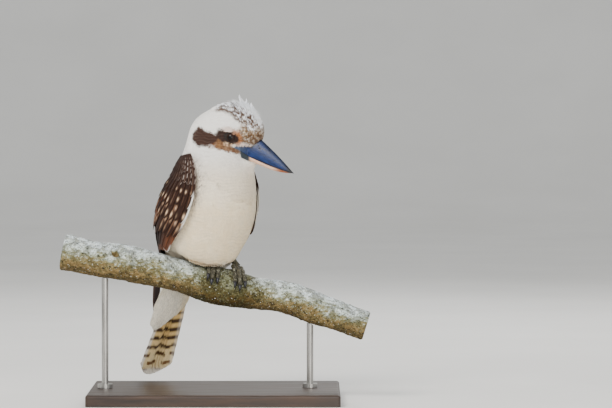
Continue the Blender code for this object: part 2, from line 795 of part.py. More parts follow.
# The tail: a root block and overlapping vanes, the middle pair on top
TAIL_PAIRS = 6
TAIL_PITCH_MM = 0.0015  # between one pair of tail feathers and the next, back to front


def tail_vane(root, tip, half, lean, thickness=0.00055, bow=0.0):
    """One tail feather, in the tail's frame: places are (forward, right, up), and forward is the underside."""
    shares = np.array((0.0, 0.45, 0.86, 0.96, 1.0))
    profile = np.array((0.62, 0.96, 0.96, 0.66, 0.24))
    root, tip = np.array(root), np.array(tip)
    local = root + (tip - root) * shares[:, None]
    local[:, 0] += bow * np.sin(math.pi * shares)
    centres = TAIL.world(local)
    along = np.gradient(centres, axis=0)
    along /= np.linalg.norm(along, axis=1, keepdims=True)
    across = TAIL.axes[1] * math.cos(lean) + TAIL.axes[0] * math.sin(lean)
    sides = across - along * (along @ across)[:, None]
    sides /= np.linalg.norm(sides, axis=1, keepdims=True)
    return plate(centres, sides, np.cross(along, sides), half * profile, thickness)


def tail_feathers():
    """Every feather of the tail: its kind, root, tip, half width, lean and bow."""
    made = []
    for i in range(TAIL_PAIRS):
        for side in (-1, 1):
            rise = -0.0045 + TAIL_PITCH_MM * (i + (0.5 if side < 0 else 0.0))
            root = (rise, side * (0.0015 + 0.0012 * i), -0.022)
            tip = (rise, side * (i + 0.5) * 0.0031, -TAIL_LENGTH + 0.0018 * i**1.3)
            made.append(("rectrix", root, tip, 0.0080, side * 0.02, 0.0))
    under = ((-0.092, 3, 0.0075, 0.0062), (-0.074, 3, 0.0090, 0.0090), (-0.054, 3, 0.0100, 0.0118))
    over = ((-0.058, 3, 0.0080, -0.0082), (-0.040, 3, 0.0090, -0.0108))
    for kind, rows, way in (("undertail", under, 1), ("uppertail", over, -1)):
        for end, count, spread, level in rows:
            for i in range(count):
                place = i - (count - 1) / 2
                rise = level - way * 0.0008 * (i + abs(place))
                root = (0.0050 * way, place * 0.0070, -0.012)
                tip = (rise, place * spread, end + 0.006 * abs(place))
                made.append((kind, root, tip, 0.0080, 0.06 * place * way, 0.0020 * way))
    return made


def build_tail(brown):
    rings = []
    for up, wide, deep in ((-0.0083, 0.0150, 0.0110), (-0.020, 0.0160, 0.0095), (-0.036, 0.0140, 0.0062)):
        turns = np.arange(14) * math.pi / 7
        ring = np.stack([deep * np.sin(turns), wide * np.cos(turns), np.full(14, up)], axis=1)
        rings.append(TAIL.world(ring))
    tail = closed_object("tail", *loft(rings), brown)
    vanes = [
        closed_object(kind, *tail_vane(root, tip, half, lean, bow=bow), brown)
        for kind, root, tip, half, lean, bow in tail_feathers()
    ]
    combine(tail, vanes, solver="MANIFOLD")


# Feet: three front toes held close together and one behind, over the swelling of the perch
FEET = {"right": -0.008, "left": 0.021}
TOES = (
    ("inner", 0.0046, 0.0080, 1.06, 0.0031),
    ("middle", 0.0, 0.0025, 1.28, 0.0034),
    ("outer", -0.0046, -0.0040, 1.16, 0.0031),
    ("hind", 0.0, 0.0010, -1.02, 0.0034),
)


def toe_paths(name, x, inward):
    """For each toe its path over the bark, its radii, and its claw's path and radii."""
    made = []
    for _, start, end, reach, thick in TOES:
        shares = np.linspace(0, 1, 6)
        heading = math.copysign(1, reach)
        turns = heading * 0.05 + (reach - heading * 0.05) * shares
        swing = 0.0045 * shares * heading
        places = x + inward * (start + (end - start) * shares) + swing
        pads = 1 + 0.10 * np.cos(shares * 6 * math.pi)
        radii = thick * (1 - 0.22 * shares) * pads
        path = on_perch(places, turns, radii * 1.03 + 2 * GAP)
        claw_shares = np.linspace(0, 1, 4)
        claw_turns = reach + heading * (0.02 + 0.30 * claw_shares)
        claw_radii = 0.0021 * (1 - claw_shares) ** 0.8 + 0.0003
        lift = 0.0026 + 0.0022 * np.sin(math.pi * np.minimum(claw_shares * 1.1, 1)) - 0.0014 * claw_shares
        claw = on_perch(places[-1] + 0.0008 * heading * claw_shares, claw_turns, lift)
        made.append((path, radii, claw, claw_radii))
    return made


def build_leg(name, x, inward, skin, claw_skin, torso):
    side = 1 if name == "right" else -1
    ankle = on_perch(x, -0.02, 0.0052)
    hip = ankle + 0.40 * (BODY.world((0.0, side * 0.012, -0.012)) - ankle)
    path = [ankle + (hip - ankle) * share for share in np.linspace(0, 1, 5)]
    leg = closed_object("leg_" + name, *tube(path, (0.0042, 0.0036, 0.0036, 0.0042, 0.0050), 8), skin)
    toes = toe_paths(name, x, inward)
    pieces = [closed_object("toe", *tube(path, radii, 6), skin) for path, radii, _, _ in toes]
    pieces += [closed_object("claw", *tube(path, radii, 5), claw_skin) for _, _, path, radii in toes]
    combine(leg, pieces, solver="MANIFOLD")
    room = torso.copy()
    room.data = torso.data.copy()
    bpy.context.collection.objects.link(room)
    normals = np.array([v.normal for v in room.data.vertices])
    for vertex, normal in zip(room.data.vertices, normals):
        vertex.co += Vector(normal) * 1.5 * GAP
    combine(leg, [room], "DIFFERENCE", solver="MANIFOLD")


def main():
    for old in list(bpy.data.objects):
        bpy.data.objects.remove(old)
    cream = make_material("cream plumage", (0.80, 0.75, 0.66), 0.85)
    white = make_material("white plumage", (0.86, 0.84, 0.80), 0.85)
    brown = make_material("brown plumage", (0.10, 0.055, 0.035), 0.70)
    dark = make_material("dark eye", (0.015, 0.010, 0.008), 0.10)
    horn = make_material("dark horn", (0.020, 0.028, 0.045), 0.28)
    pale = make_material("pale horn", (0.62, 0.45, 0.32), 0.40)
    skin = make_material("scaly skin", (0.16, 0.15, 0.12), 0.60)
    bark = make_material("lichened bark", (0.36, 0.34, 0.28), 0.90)
    board = make_material("stained wood", (0.050, 0.030, 0.018), 0.40)
    metal = make_material("brushed metal", (0.45, 0.44, 0.42), 0.35, 1.0)

    build_stand(board, metal)
    build_perch(bark)
    build_bill(horn, pale)
    build_head(cream, white, dark)
    neck_cuts = [HEAD_CUT, (NECK_CUT[0], -NECK_CUT[1])]
    flesh_node("neck", plumage, TRUNK_STEP, neck_cuts, cream)
    torso = flesh_node("torso", trunk, TRUNK_STEP, [NECK_CUT, TAIL_CUT], cream)
    build_wing("wing_right", 1, brown)
    build_wing("wing_left", -1, brown)
    build_tail(brown)
    for name, x in FEET.items():
        build_leg(name, x, -1 if name == "right" else 1, skin, dark, torso)


main()
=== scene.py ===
"""The looks of the laughing kookaburra: skin, feathers, bill, eyes, feet, bark, stand, light and camera.

Units are metres and +Z is up, as in the part. The bird's shape is the part's own field of blended
ellipsoids; the skin lies under it by the coat's depth, and the feathers reach out to it.
"""

import itertools
import math

import bpy
import numpy as np
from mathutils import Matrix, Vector


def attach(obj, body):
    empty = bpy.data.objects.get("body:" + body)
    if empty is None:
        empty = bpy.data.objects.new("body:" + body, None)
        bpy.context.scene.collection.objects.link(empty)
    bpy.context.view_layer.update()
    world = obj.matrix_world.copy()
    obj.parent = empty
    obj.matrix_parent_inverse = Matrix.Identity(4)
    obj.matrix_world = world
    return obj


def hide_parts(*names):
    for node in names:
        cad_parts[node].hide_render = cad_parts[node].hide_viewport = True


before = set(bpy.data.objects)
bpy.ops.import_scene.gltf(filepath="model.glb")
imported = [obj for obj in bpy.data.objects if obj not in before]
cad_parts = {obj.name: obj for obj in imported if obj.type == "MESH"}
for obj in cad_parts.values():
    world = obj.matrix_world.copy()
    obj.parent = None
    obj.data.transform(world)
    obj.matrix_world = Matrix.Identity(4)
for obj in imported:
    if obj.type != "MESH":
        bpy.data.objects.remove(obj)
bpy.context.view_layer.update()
RANDOM = np.random.default_rng(11)
TINY = 1e-9


# Places on the bird and the field of its plumage, as in the part
class Frame:
    """A place on the bird: local axes are forward, right-hand side and up."""

    def __init__(self, origin, yaw, pitch):
        ahead = np.array([math.sin(yaw), -math.cos(yaw), 0.0])
        right = np.array([-math.cos(yaw), -math.sin(yaw), 0.0])
        up = np.array([0.0, 0.0, 1.0])
        forward = math.cos(pitch) * ahead - math.sin(pitch) * up
        upward = math.sin(pitch) * ahead + math.cos(pitch) * up
        self.origin = np.array(origin, float)
        self.axes = np.array([forward, right, upward])

    def world(self, points):
        return np.asarray(points, float) @ self.axes + self.origin

    def local(self, points):
        return (np.asarray(points, float) - self.origin) @ self.axes.T


BODY = Frame((-0.010, 0.014, 0.215), math.radians(40), math.radians(20))
HEAD = Frame((0.031, -0.012, 0.3125), math.radians(60), math.radians(22))
TAIL = Frame((-0.0390, 0.0500, 0.1540), math.radians(40), math.radians(27))
TAIL_LENGTH = 0.151
BLOBS = (
    # frame, centre, radii and how widely it blends into the ones before
    (BODY, (0.004, 0.0, 0.020), (0.053, 0.051, 0.056), 0.020),
    (BODY, (0.004, 0.0, -0.020), (0.050, 0.050, 0.043), 0.020),
    (BODY, (-0.013, 0.0, 0.002), (0.043, 0.046, 0.060), 0.018),
    (BODY, (0.004, 0.0, 0.058), (0.040, 0.040, 0.046), 0.020),
    (TAIL, (0.000, 0.0, 0.012), (0.019, 0.024, 0.046), 0.022),
    (HEAD, (-0.026, 0.0, -0.032), (0.036, 0.036, 0.044), 0.020),
    (HEAD, (-0.016, 0.0, 0.006), (0.034, 0.031, 0.031), 0.014),
    (HEAD, (0.004, 0.0, 0.012), (0.0225, 0.0165, 0.023), 0.010),
    (HEAD, (-0.032, 0.0, -0.008), (0.032, 0.031, 0.027), 0.014),
    (HEAD, (-0.010, 0.0, -0.020), (0.030, 0.027, 0.022), 0.014),
    (HEAD, (0.012, 0.0, -0.018), (0.018, 0.012, 0.008), 0.010),
)
BIRD_LOW = (-0.125, -0.115, 0.060)
BIRD_HIGH = (0.130, 0.125, 0.380)
BELLY_CLEARANCE = 0.0085
BELLY_BLEND = 0.008

# A shallow hollow where the belly runs in over the far thigh
THIGH_HOLLOW = (0.042, -0.038, -0.031)
THIGH_REACH = 0.019
THIGH_DEPTH = 0.0080


def unit(vectors):
    return vectors / np.maximum(np.linalg.norm(vectors, axis=-1, keepdims=True), TINY)


def ease(value, low, high):
    """Rises smoothly from 0 at low to 1 at high, or falls where high is the smaller."""
    share = np.clip((np.asarray(value, float) - low) / (high - low), 0, 1)
    return share * share * (3 - 2 * share)


def window(value, low, full, last, high):
    """Rises from 0 at low to 1 at full and falls from last back to 0 at high."""
    return ease(value, low, full) * ease(value, high, last)


def hump(value, middle, reach):
    """A smooth bump of height 1 at a middle, gone a few reaches away."""
    return np.exp(-(((value - middle) / reach) ** 2))


def ellipsoid(points, place, centre, radii):
    """Distance, about, from an ellipsoid's surface: negative inside."""
    local = place.local(points) - np.array(centre)
    radii = np.array(radii)
    near = np.linalg.norm(local / radii, axis=1)
    slope = np.linalg.norm(local / radii**2, axis=1)
    return near * (near - 1) / np.maximum(slope, TINY)


def smooth_min(a, b, width):
    share = np.clip(0.5 + 0.5 * (b - a) / width, 0, 1)
    return b * (1 - share) + a * share - width * share * (1 - share)


def plumage(points):
    """Distance, about, from the plumage's outer surface: negative inside."""
    value = None
    for place, centre, radii, width in BLOBS:
        found = ellipsoid(points, place, centre, radii)
        value = found if value is None else smooth_min(value, found, width)
    off = (BODY.local(points) - np.array(THIGH_HOLLOW)) / THIGH_REACH
    return value + THIGH_DEPTH * np.exp(-(off**2).sum(-1))


def gradient(field, points, step=1e-4):
    """Unit outward directions of a field, by central differences."""
    slopes = []
    for axis in range(3):
        shift = np.zeros(3)
        shift[axis] = step
        slopes.append(field(points + shift) - field(points - shift))
    return unit(np.stack(slopes, axis=1))


def surface_net(field, low, high, step):
    """Points and quads of the closed surface where a field is zero, on a grid of that step."""
    lines = [np.arange(l, h + step, step) for l, h in zip(low, high)]
    grid = np.stack(np.meshgrid(*lines, indexing="ij"), axis=-1)
    value = field(grid.reshape(-1, 3)).reshape(grid.shape[:3])
    inside = value < 0
    cells = np.array(inside.shape) - 1
    total = np.zeros((*cells, 3))
    hits = np.zeros(cells)
    quads = []
    for axis in range(3):
        first = [slice(None)] * 3
        last = [slice(None)] * 3
        first[axis], last[axis] = slice(0, -1), slice(1, None)
        first, last = tuple(first), tuple(last)
        places = np.argwhere(inside[first] != inside[last])
        u, v = (axis + 1) % 3, (axis + 2) % 3
        whole = (places[:, [u, v]] > 0).all(1) & (places[:, u] < cells[u]) & (places[:, v] < cells[v])
        places = places[whole]
        at = tuple(places.T)
        a, b = value[first][at], value[last][at]
        share = (a / (a - b))[:, None]
        crossing = grid[first][at] * (1 - share) + grid[last][at] * share
        around = []
        for back_u, back_v in ((0, 0), (1, 0), (1, 1), (0, 1)):
            cell = places.copy()
            cell[:, u] -= back_u
            cell[:, v] -= back_v
            np.add.at(total, tuple(cell.T), crossing)
            np.add.at(hits, tuple(cell.T), 1)
            around.append(np.ravel_multi_index(tuple(cell.T), cells))
        around = np.stack(around, axis=1)
        leaving = inside[first][at]
        quads.append(np.where(leaving[:, None], around, around[:, ::-1]))
    quads = np.concatenate(quads)
    used, index = np.unique(quads, return_inverse=True)
    points = (total / np.maximum(hits, 1)[..., None]).reshape(-1, 3)[used]
    return points, index.reshape(-1, 4)


def settled(field, points, quads, rounds=2):
    """Points evened out along the surface and brought back onto it."""
    ends = np.concatenate([quads[:, [i, (i + 1) % 4]] for i in range(4)])
    for _ in range(rounds):
        total = np.zeros_like(points)
        count = np.zeros(len(points))
        np.add.at(total, ends[:, 0], points[ends[:, 1]])
        np.add.at(count, ends[:, 0], 1)
        points = 0.5 * points + 0.5 * total / count[:, None]
        for _ in range(2):
            points = points - field(points)[:, None] * gradient(field, points)
    return points


def curve_through(controls, shares):
    """Points on the smooth Bezier curve of a few control points."""
    controls = np.array(controls, float)
    degree = len(controls) - 1
    shares = np.asarray(shares, float)[:, None]
    total = 0
    for i, control in enumerate(controls):
        weight = math.comb(degree, i) * shares**i * (1 - shares) ** (degree - i)
        total = total + weight * control
    return total


def noise(points, cell, seed=0):
    """Smooth noise from -1 to 1 in cells of that size."""
    place = points / cell + 19.7 * seed
    corner = np.floor(place)
    share = place - corner
    share = share * share * (3 - 2 * share)
    total = 0
    for step in itertools.product((0, 1), repeat=3):
        wave = np.sin((corner + step) @ np.array((127.1, 311.7, 74.7))) * 43758.5453
        weight = np.where(step, share, 1 - share).prod(axis=1)
        total = total + weight * (wave - np.floor(wave))
    return 2 * total - 1


# The perch's own shape, as in the part
PERCH_HALF = 0.182
PERCH_RADIUS = 0.0203
PERCH_TAPER = 0.010
PERCH_MIDDLE = 0.138
PERCH_SLOPE = -0.243
PERCH_BEND = -0.15
PERCH_SWELLS = ((0.0060, 0.090, 0.045), (0.0028, -0.085, 0.040))  # height, place and reach along X
PERCH_WEAVE = 0.004
PERCH_WEAVES = 14.0
KNOT_HEIGHT, KNOT_X, KNOT_REACH = 0.0022, 0.012, 0.030


def perch_centre(x):
    x = np.asarray(x, float)
    z = PERCH_MIDDLE + PERCH_SLOPE * x + PERCH_BEND * x**2
    for height, middle, reach in PERCH_SWELLS:
        z = z + height * hump(x, middle, reach)
    return np.stack([x, PERCH_WEAVE * np.sin(x * PERCH_WEAVES), z], axis=-1)


def perch_axes(x):
    """Unit directions along the perch, to its front and up from it."""
    step = 1e-3
    along = unit(perch_centre(x + step) - perch_centre(x - step))
    up = unit(np.cross(np.array([0.0, -1.0, 0.0]), along))
    return along, np.cross(along, up), up


def perch_radius(x, turn):
    x = np.asarray(x, float)
    knot = KNOT_HEIGHT * hump(x, KNOT_X, KNOT_REACH) * (1 - 0.4 * np.cos(turn))
    bumps = 0.0008 * np.sin(61 * x + 1.3) * np.cos(2 * turn) + 0.0006 * np.sin(97 * x + 3 * turn)
    return PERCH_RADIUS - PERCH_TAPER * x + knot + bumps


def on_perch(x, turn, height=0.0):
    """A point at a turn round the perch: 0 is its top and positive turns face the front."""
    x, turn, height = np.broadcast_arrays(np.asarray(x, float), np.asarray(turn, float), height)
    _, front, up = perch_axes(x)
    radius = (perch_radius(x, turn) + height)[..., None]
    return perch_centre(x) + radius * (np.sin(turn)[..., None] * front + np.cos(turn)[..., None] * up)


def perch_distance(points):
    """Distance, about, from the perch's bark."""
    _, front, up = perch_axes(points[:, 0])
    off = points - perch_centre(points[:, 0])
    across = np.hypot((off * front).sum(1), (off * up).sum(1))
    return across - (PERCH_RADIUS - PERCH_TAPER * points[:, 0])


def trunk(points):
    """The plumage with room left for the perch and the feet."""
    room = BELLY_CLEARANCE - perch_distance(points)
    return -smooth_min(-plumage(points), -room, BELLY_BLEND)


# Camera, floor and light: a long lens nearly level with the bird, in the photo's framing
METRES_PER_PIXEL = 0.0012
PHOTO_WIDTH = 612
VIEW_WIDTH = PHOTO_WIDTH * METRES_PER_PIXEL
CAMERA_TARGET = (0.1092, 0.0, 0.2352)
CAMERA_DISTANCE = 4.0
CAMERA_ELEVATION = math.radians(2.0)
SENSOR = 36.0
LIGHT_TARGET = (0.0, 0.0, 0.22)
LIGHTS = (
    # name, place, size, power and colour
    ("key", (-0.9, -1.5, 1.9), 1.1, 58.0, (1.0, 0.970, 0.92)),
    ("fill", (0.5, -1.9, 0.35), 1.4, 22.0, (1.0, 0.97, 0.92)),
    ("back", (0.5, 1.5, 1.5), 1.0, 24.0, (1.0, 1.0, 1.0)),
)
AIR_COLOUR = (0.86, 0.88, 0.90, 1.0)
AIR_STRENGTH = 0.92
FLOOR_FRONT, FLOOR_BACK, FLOOR_SIDE = -7.0, 5.0, 9.0
BACKDROP_BEND, BACKDROP_TOP = 2.0, 9.0


def look_at(obj, place, target):
    obj.location = place
    obj.rotation_euler = (Vector(target) - Vector(place)).to_track_quat("-Z", "Y").to_euler()


def build_camera():
    data = bpy.data.cameras.new("camera")
    data.sensor_width = SENSOR
    data.lens = SENSOR * CAMERA_DISTANCE / VIEW_WIDTH
    data.clip_end = 30.0
    camera = bpy.data.objects.new("camera", data)
    bpy.context.collection.objects.link(camera)
    x, y, z = CAMERA_TARGET
    back = CAMERA_DISTANCE * math.cos(CAMERA_ELEVATION)
    rise = CAMERA_DISTANCE * math.sin(CAMERA_ELEVATION)
    look_at(camera, (x, y - back, z + rise), CAMERA_TARGET)
    bpy.context.scene.camera = camera


def area_light(name, place, size, power, colour):
    data = bpy.data.lights.new(name, "AREA")
    data.shape = "DISK"
    data.size = size
    data.energy = power
    data.color = colour
    light = bpy.data.objects.new(name, data)
    bpy.context.collection.objects.link(light)
    look_at(light, place, LIGHT_TARGET)


def build_stage():
    world = bpy.data.worlds.new("studio air")
    world.use_nodes = True
    background = world.node_tree.nodes["Background"]
    background.inputs["Color"].default_value = AIR_COLOUR
    background.inputs["Strength"].default_value = AIR_STRENGTH
    bpy.context.scene.world = world
    for light in LIGHTS:
        area_light(*light)
    bend = BACKDROP_BEND
    profile = [(FLOOR_FRONT, 0.0)]
    for turn in np.linspace(0, math.pi / 2, 16):
        profile.append((FLOOR_BACK + bend * math.sin(turn), bend - bend * math.cos(turn)))
    profile.append((FLOOR_BACK + bend, BACKDROP_TOP))
    points = [(x, y, z) for y, z in profile for x in (-FLOOR_SIDE, FLOOR_SIDE)]
    quads = [(2 * i, 2 * i + 1, 2 * i + 3, 2 * i + 2) for i in range(len(profile) - 1)]
    new_mesh("floor", points, quads, floor_material())


# Materials, all made of shader nodes
def linear(red, green, blue):
    """A screen colour from 0 to 255 as linear light."""
    value = np.array((red, green, blue), float) / 255
    return np.where(value <= 0.04045, value / 12.92, ((value + 0.055) / 1.055) ** 2.4)


class Nodes:
    """Short ways to add shader nodes to a new material."""

    def __init__(self, name, roughness, metallic=0.0):
        self.material = bpy.data.materials.new(name)
        self.material.use_nodes = True
        self.tree = self.material.node_tree
        self.shader = self.tree.nodes["Principled BSDF"]
        self.set(Roughness=roughness, Metallic=metallic)

    def put(self, socket, value):
        """Links a socket's value, or sets a number or a colour."""
        if isinstance(value, bpy.types.NodeSocket):
            self.tree.links.new(value, socket)
        elif socket.type == "RGBA":
            socket.default_value = (*value, 1.0)
        else:
            socket.default_value = value

    def add(self, kind, inputs, **settings):
        node = self.tree.nodes.new(kind)
        for key, value in settings.items():
            setattr(node, key, value)
        for key, value in inputs.items():
            self.put(node.inputs[key], value)
        return node

    def place(self, scale=(1, 1, 1)):
        coordinates = self.add("ShaderNodeTexCoord", {}).outputs["Object"]
        return self.add("ShaderNodeMapping", {"Vector": coordinates, "Scale": scale}).outputs["Vector"]

    def attribute(self, name, output="Color"):
        return self.add("ShaderNodeAttribute", {}, attribute_name=name).outputs[output]

    def noise(self, vector, scale, detail=3.0, roughness=0.55):
        inputs = {"Vector": vector, "Scale": scale, "Detail": detail, "Roughness": roughness}
        return self.add("ShaderNodeTexNoise", inputs).outputs["Fac"]

    def ramp(self, value, *stops):
        node = self.add("ShaderNodeValToRGB", {"Fac": value})
        ramp = node.color_ramp
        while len(ramp.elements) < len(stops):
            ramp.elements.new(0.5)
        for element, (at, colour) in zip(ramp.elements, stops):
            element.position = at
            element.color = (*colour, 1.0)
        return node.outputs["Color"]

    def grey(self, value, low, high, start=0.3, end=0.7):
        return self.ramp(value, (start, (low,) * 3), (end, (high,) * 3))

    def mix(self, share, a, b, blend="MIX"):
        inputs = {0: share, 6: a, 7: b}
        return self.add("ShaderNodeMix", inputs, data_type="RGBA", blend_type=blend).outputs[2]

    def math(self, operation, a, b=0.0):
        return self.add("ShaderNodeMath", {0: a, 1: b}, operation=operation).outputs[0]

    def colour(self, socket):
        self.put(self.shader.inputs["Base Color"], socket)

    def rough(self, socket):
        self.put(self.shader.inputs["Roughness"], socket)

    def bump(self, height, distance, strength=1.0):
        inputs = {"Height": height, "Distance": distance, "Strength": strength}
        self.put(self.shader.inputs["Normal"], self.add("ShaderNodeBump", inputs).outputs["Normal"])

    def set(self, **values):
        for key, value in values.items():
            self.shader.inputs[key.replace("_", " ")].default_value = value
        return self.material


def floor_material():
    made = Nodes("pale floor", 0.75)
    spots = made.noise(made.place(), 3.0)
    made.colour(made.ramp(spots, (0.3, (0.71, 0.70, 0.67)), (0.7, (0.76, 0.75, 0.72))))
    return made.material


def feather_material(name, roughness, streak, bars=0.0, sheen=0.12):
    """Plumage: the tint of each feather, broken by fine barbs along it and, if asked, by faint bars."""
    made = Nodes(name, roughness)
    quill = made.attribute("Quill", "Vector")
    barbs = made.grey(made.noise(quill, 6.0, 2.0), 1 - streak, 1 + 0.4 * streak, 0.35, 0.65)
    colour = made.mix(1.0, made.attribute("Tint"), barbs, "MULTIPLY")
    if bars:
        place = made.place()
        wobble = made.noise(place, 55.0, 2.0)
        height = made.add("ShaderNodeSeparateXYZ", {"Vector": place}).outputs["Z"]
        phase = made.math("ADD", made.math("MULTIPLY", height, 1550.0), made.math("MULTIPLY", wobble, 22.0))
        wave = made.math("MAXIMUM", made.math("SINE", phase), 0.0)
        patch = made.grey(made.noise(place, 30.0, 1.0), 0.0, 1.0, 0.42, 0.62)
        dark = made.math("MULTIPLY", wave, made.math("MULTIPLY", patch, bars))
        colour = made.mix(dark, colour, linear(150, 132, 112))
    made.colour(colour)
    made.bump(made.noise(quill, 9.0, 2.0), 0.0002, 0.35)
    return made.set(Specular_IOR_Level=0.10 + sheen, Sheen_Weight=sheen, Sheen_Roughness=0.6)


def new_mesh(name, points, faces, material, layers=None, patch=None):
    """An object from arrays: colours or vectors by point, and a place on the UV map by point."""
    points = np.asarray(points, np.float32)
    faces = np.asarray(faces, np.int32)
    count, sides = faces.shape
    mesh = bpy.data.meshes.new(name)
    mesh.vertices.add(len(points))
    mesh.vertices.foreach_set("co", points.ravel())
    mesh.loops.add(faces.size)
    mesh.loops.foreach_set("vertex_index", faces.ravel())
    mesh.polygons.add(count)
    mesh.polygons.foreach_set("loop_start", np.arange(count, dtype=np.int32) * sides)
    mesh.update(calc_edges=True)
    for key, values in (layers or {}).items():
        values = np.asarray(values, np.float32)
        if key == "Tint":
            layer = mesh.attributes.new(key, "FLOAT_COLOR", "POINT")
            values = np.concatenate([values, np.ones((len(values), 1), np.float32)], axis=1)
            layer.data.foreach_set("color", values.ravel())
        else:
            layer = mesh.attributes.new(key, "FLOAT_VECTOR", "POINT")
            layer.data.foreach_set("vector", values.ravel())
    if patch is not None:
        layer = mesh.uv_layers.new(name="OFBake")
        layer.data.foreach_set("uv", np.asarray(patch, np.float32)[faces.ravel()].ravel())
    mesh.materials.append(material)
    mesh.shade_smooth()
    made = bpy.data.objects.new(name, mesh)
    bpy.context.collection.objects.link(made)
    return made


def settle_piece(piece, slot, *nodes):
    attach(piece, "root")
    if nodes:
        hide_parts(*nodes)


# Colours of the bird
WHITE = linear(244, 241, 236)
CREAM = linear(238, 226, 204)
WARM = linear(236, 214, 172)
GREY = linear(172, 160, 148)
MOTTLE = linear(118, 98, 84)
CHOCOLATE = linear(58, 34, 25)
BLACKISH = linear(34, 23, 19)
RUST = linear(126, 68, 38)

# The stripe through the eye and the warm patch and streak under it, in the head's frame, in mm
STRIPE_TOP = ((0, 10, 17, 30, 40, 46), (4.8, 3.4, 1.0, 0.0, 0.2, -2.6))  # places behind the middle, heights
STRIPE_LOW = ((1, 7, 14, 20, 28, 40, 46), (-4.6, -6.2, -9.4, -16.5, -20.5, -18.5, -12.0))
PATCH_TOP = ((-4, 2, 8, 14), (-8.0, -6.6, -5.0, -4.0))
PATCH_LOW = ((-4, 6, 13, 20), (-10.5, -12.5, -14.0, -16.0))
STREAK_MIDDLE = ((-8, 2, 10, 15), (-8.0, -8.4, -9.2, -10.4))  # places ahead of the middle, heights
STREAK_HALF = ((-8, 2, 12, 15), (5.0, 4.4, 2.8, 1.4))


def along_table(places, table):
    """Heights of a table in mm at places in metres."""
    return np.interp(places * 1000, *table) * 0.001


def blend(a, b, share):
    """Colour a turning into b by each point's share."""
    share = np.asarray(share, float)[..., None]
    return a * (1 - share) + b * share


class Coat:
    """Colours of feathers, each with its vane and its shaft streak."""

    def __init__(self, count):
        self.vane = np.broadcast_to(CREAM, (count, 3)).copy()
        self.shaft = self.vane

    def paint(self, share, vane, shaft, more=None):
        """Blends both towards new colours, the shaft by its own share where one is given."""
        self.vane = blend(self.vane, vane, share)
        self.shaft = blend(self.shaft, shaft, share if more is None else more)


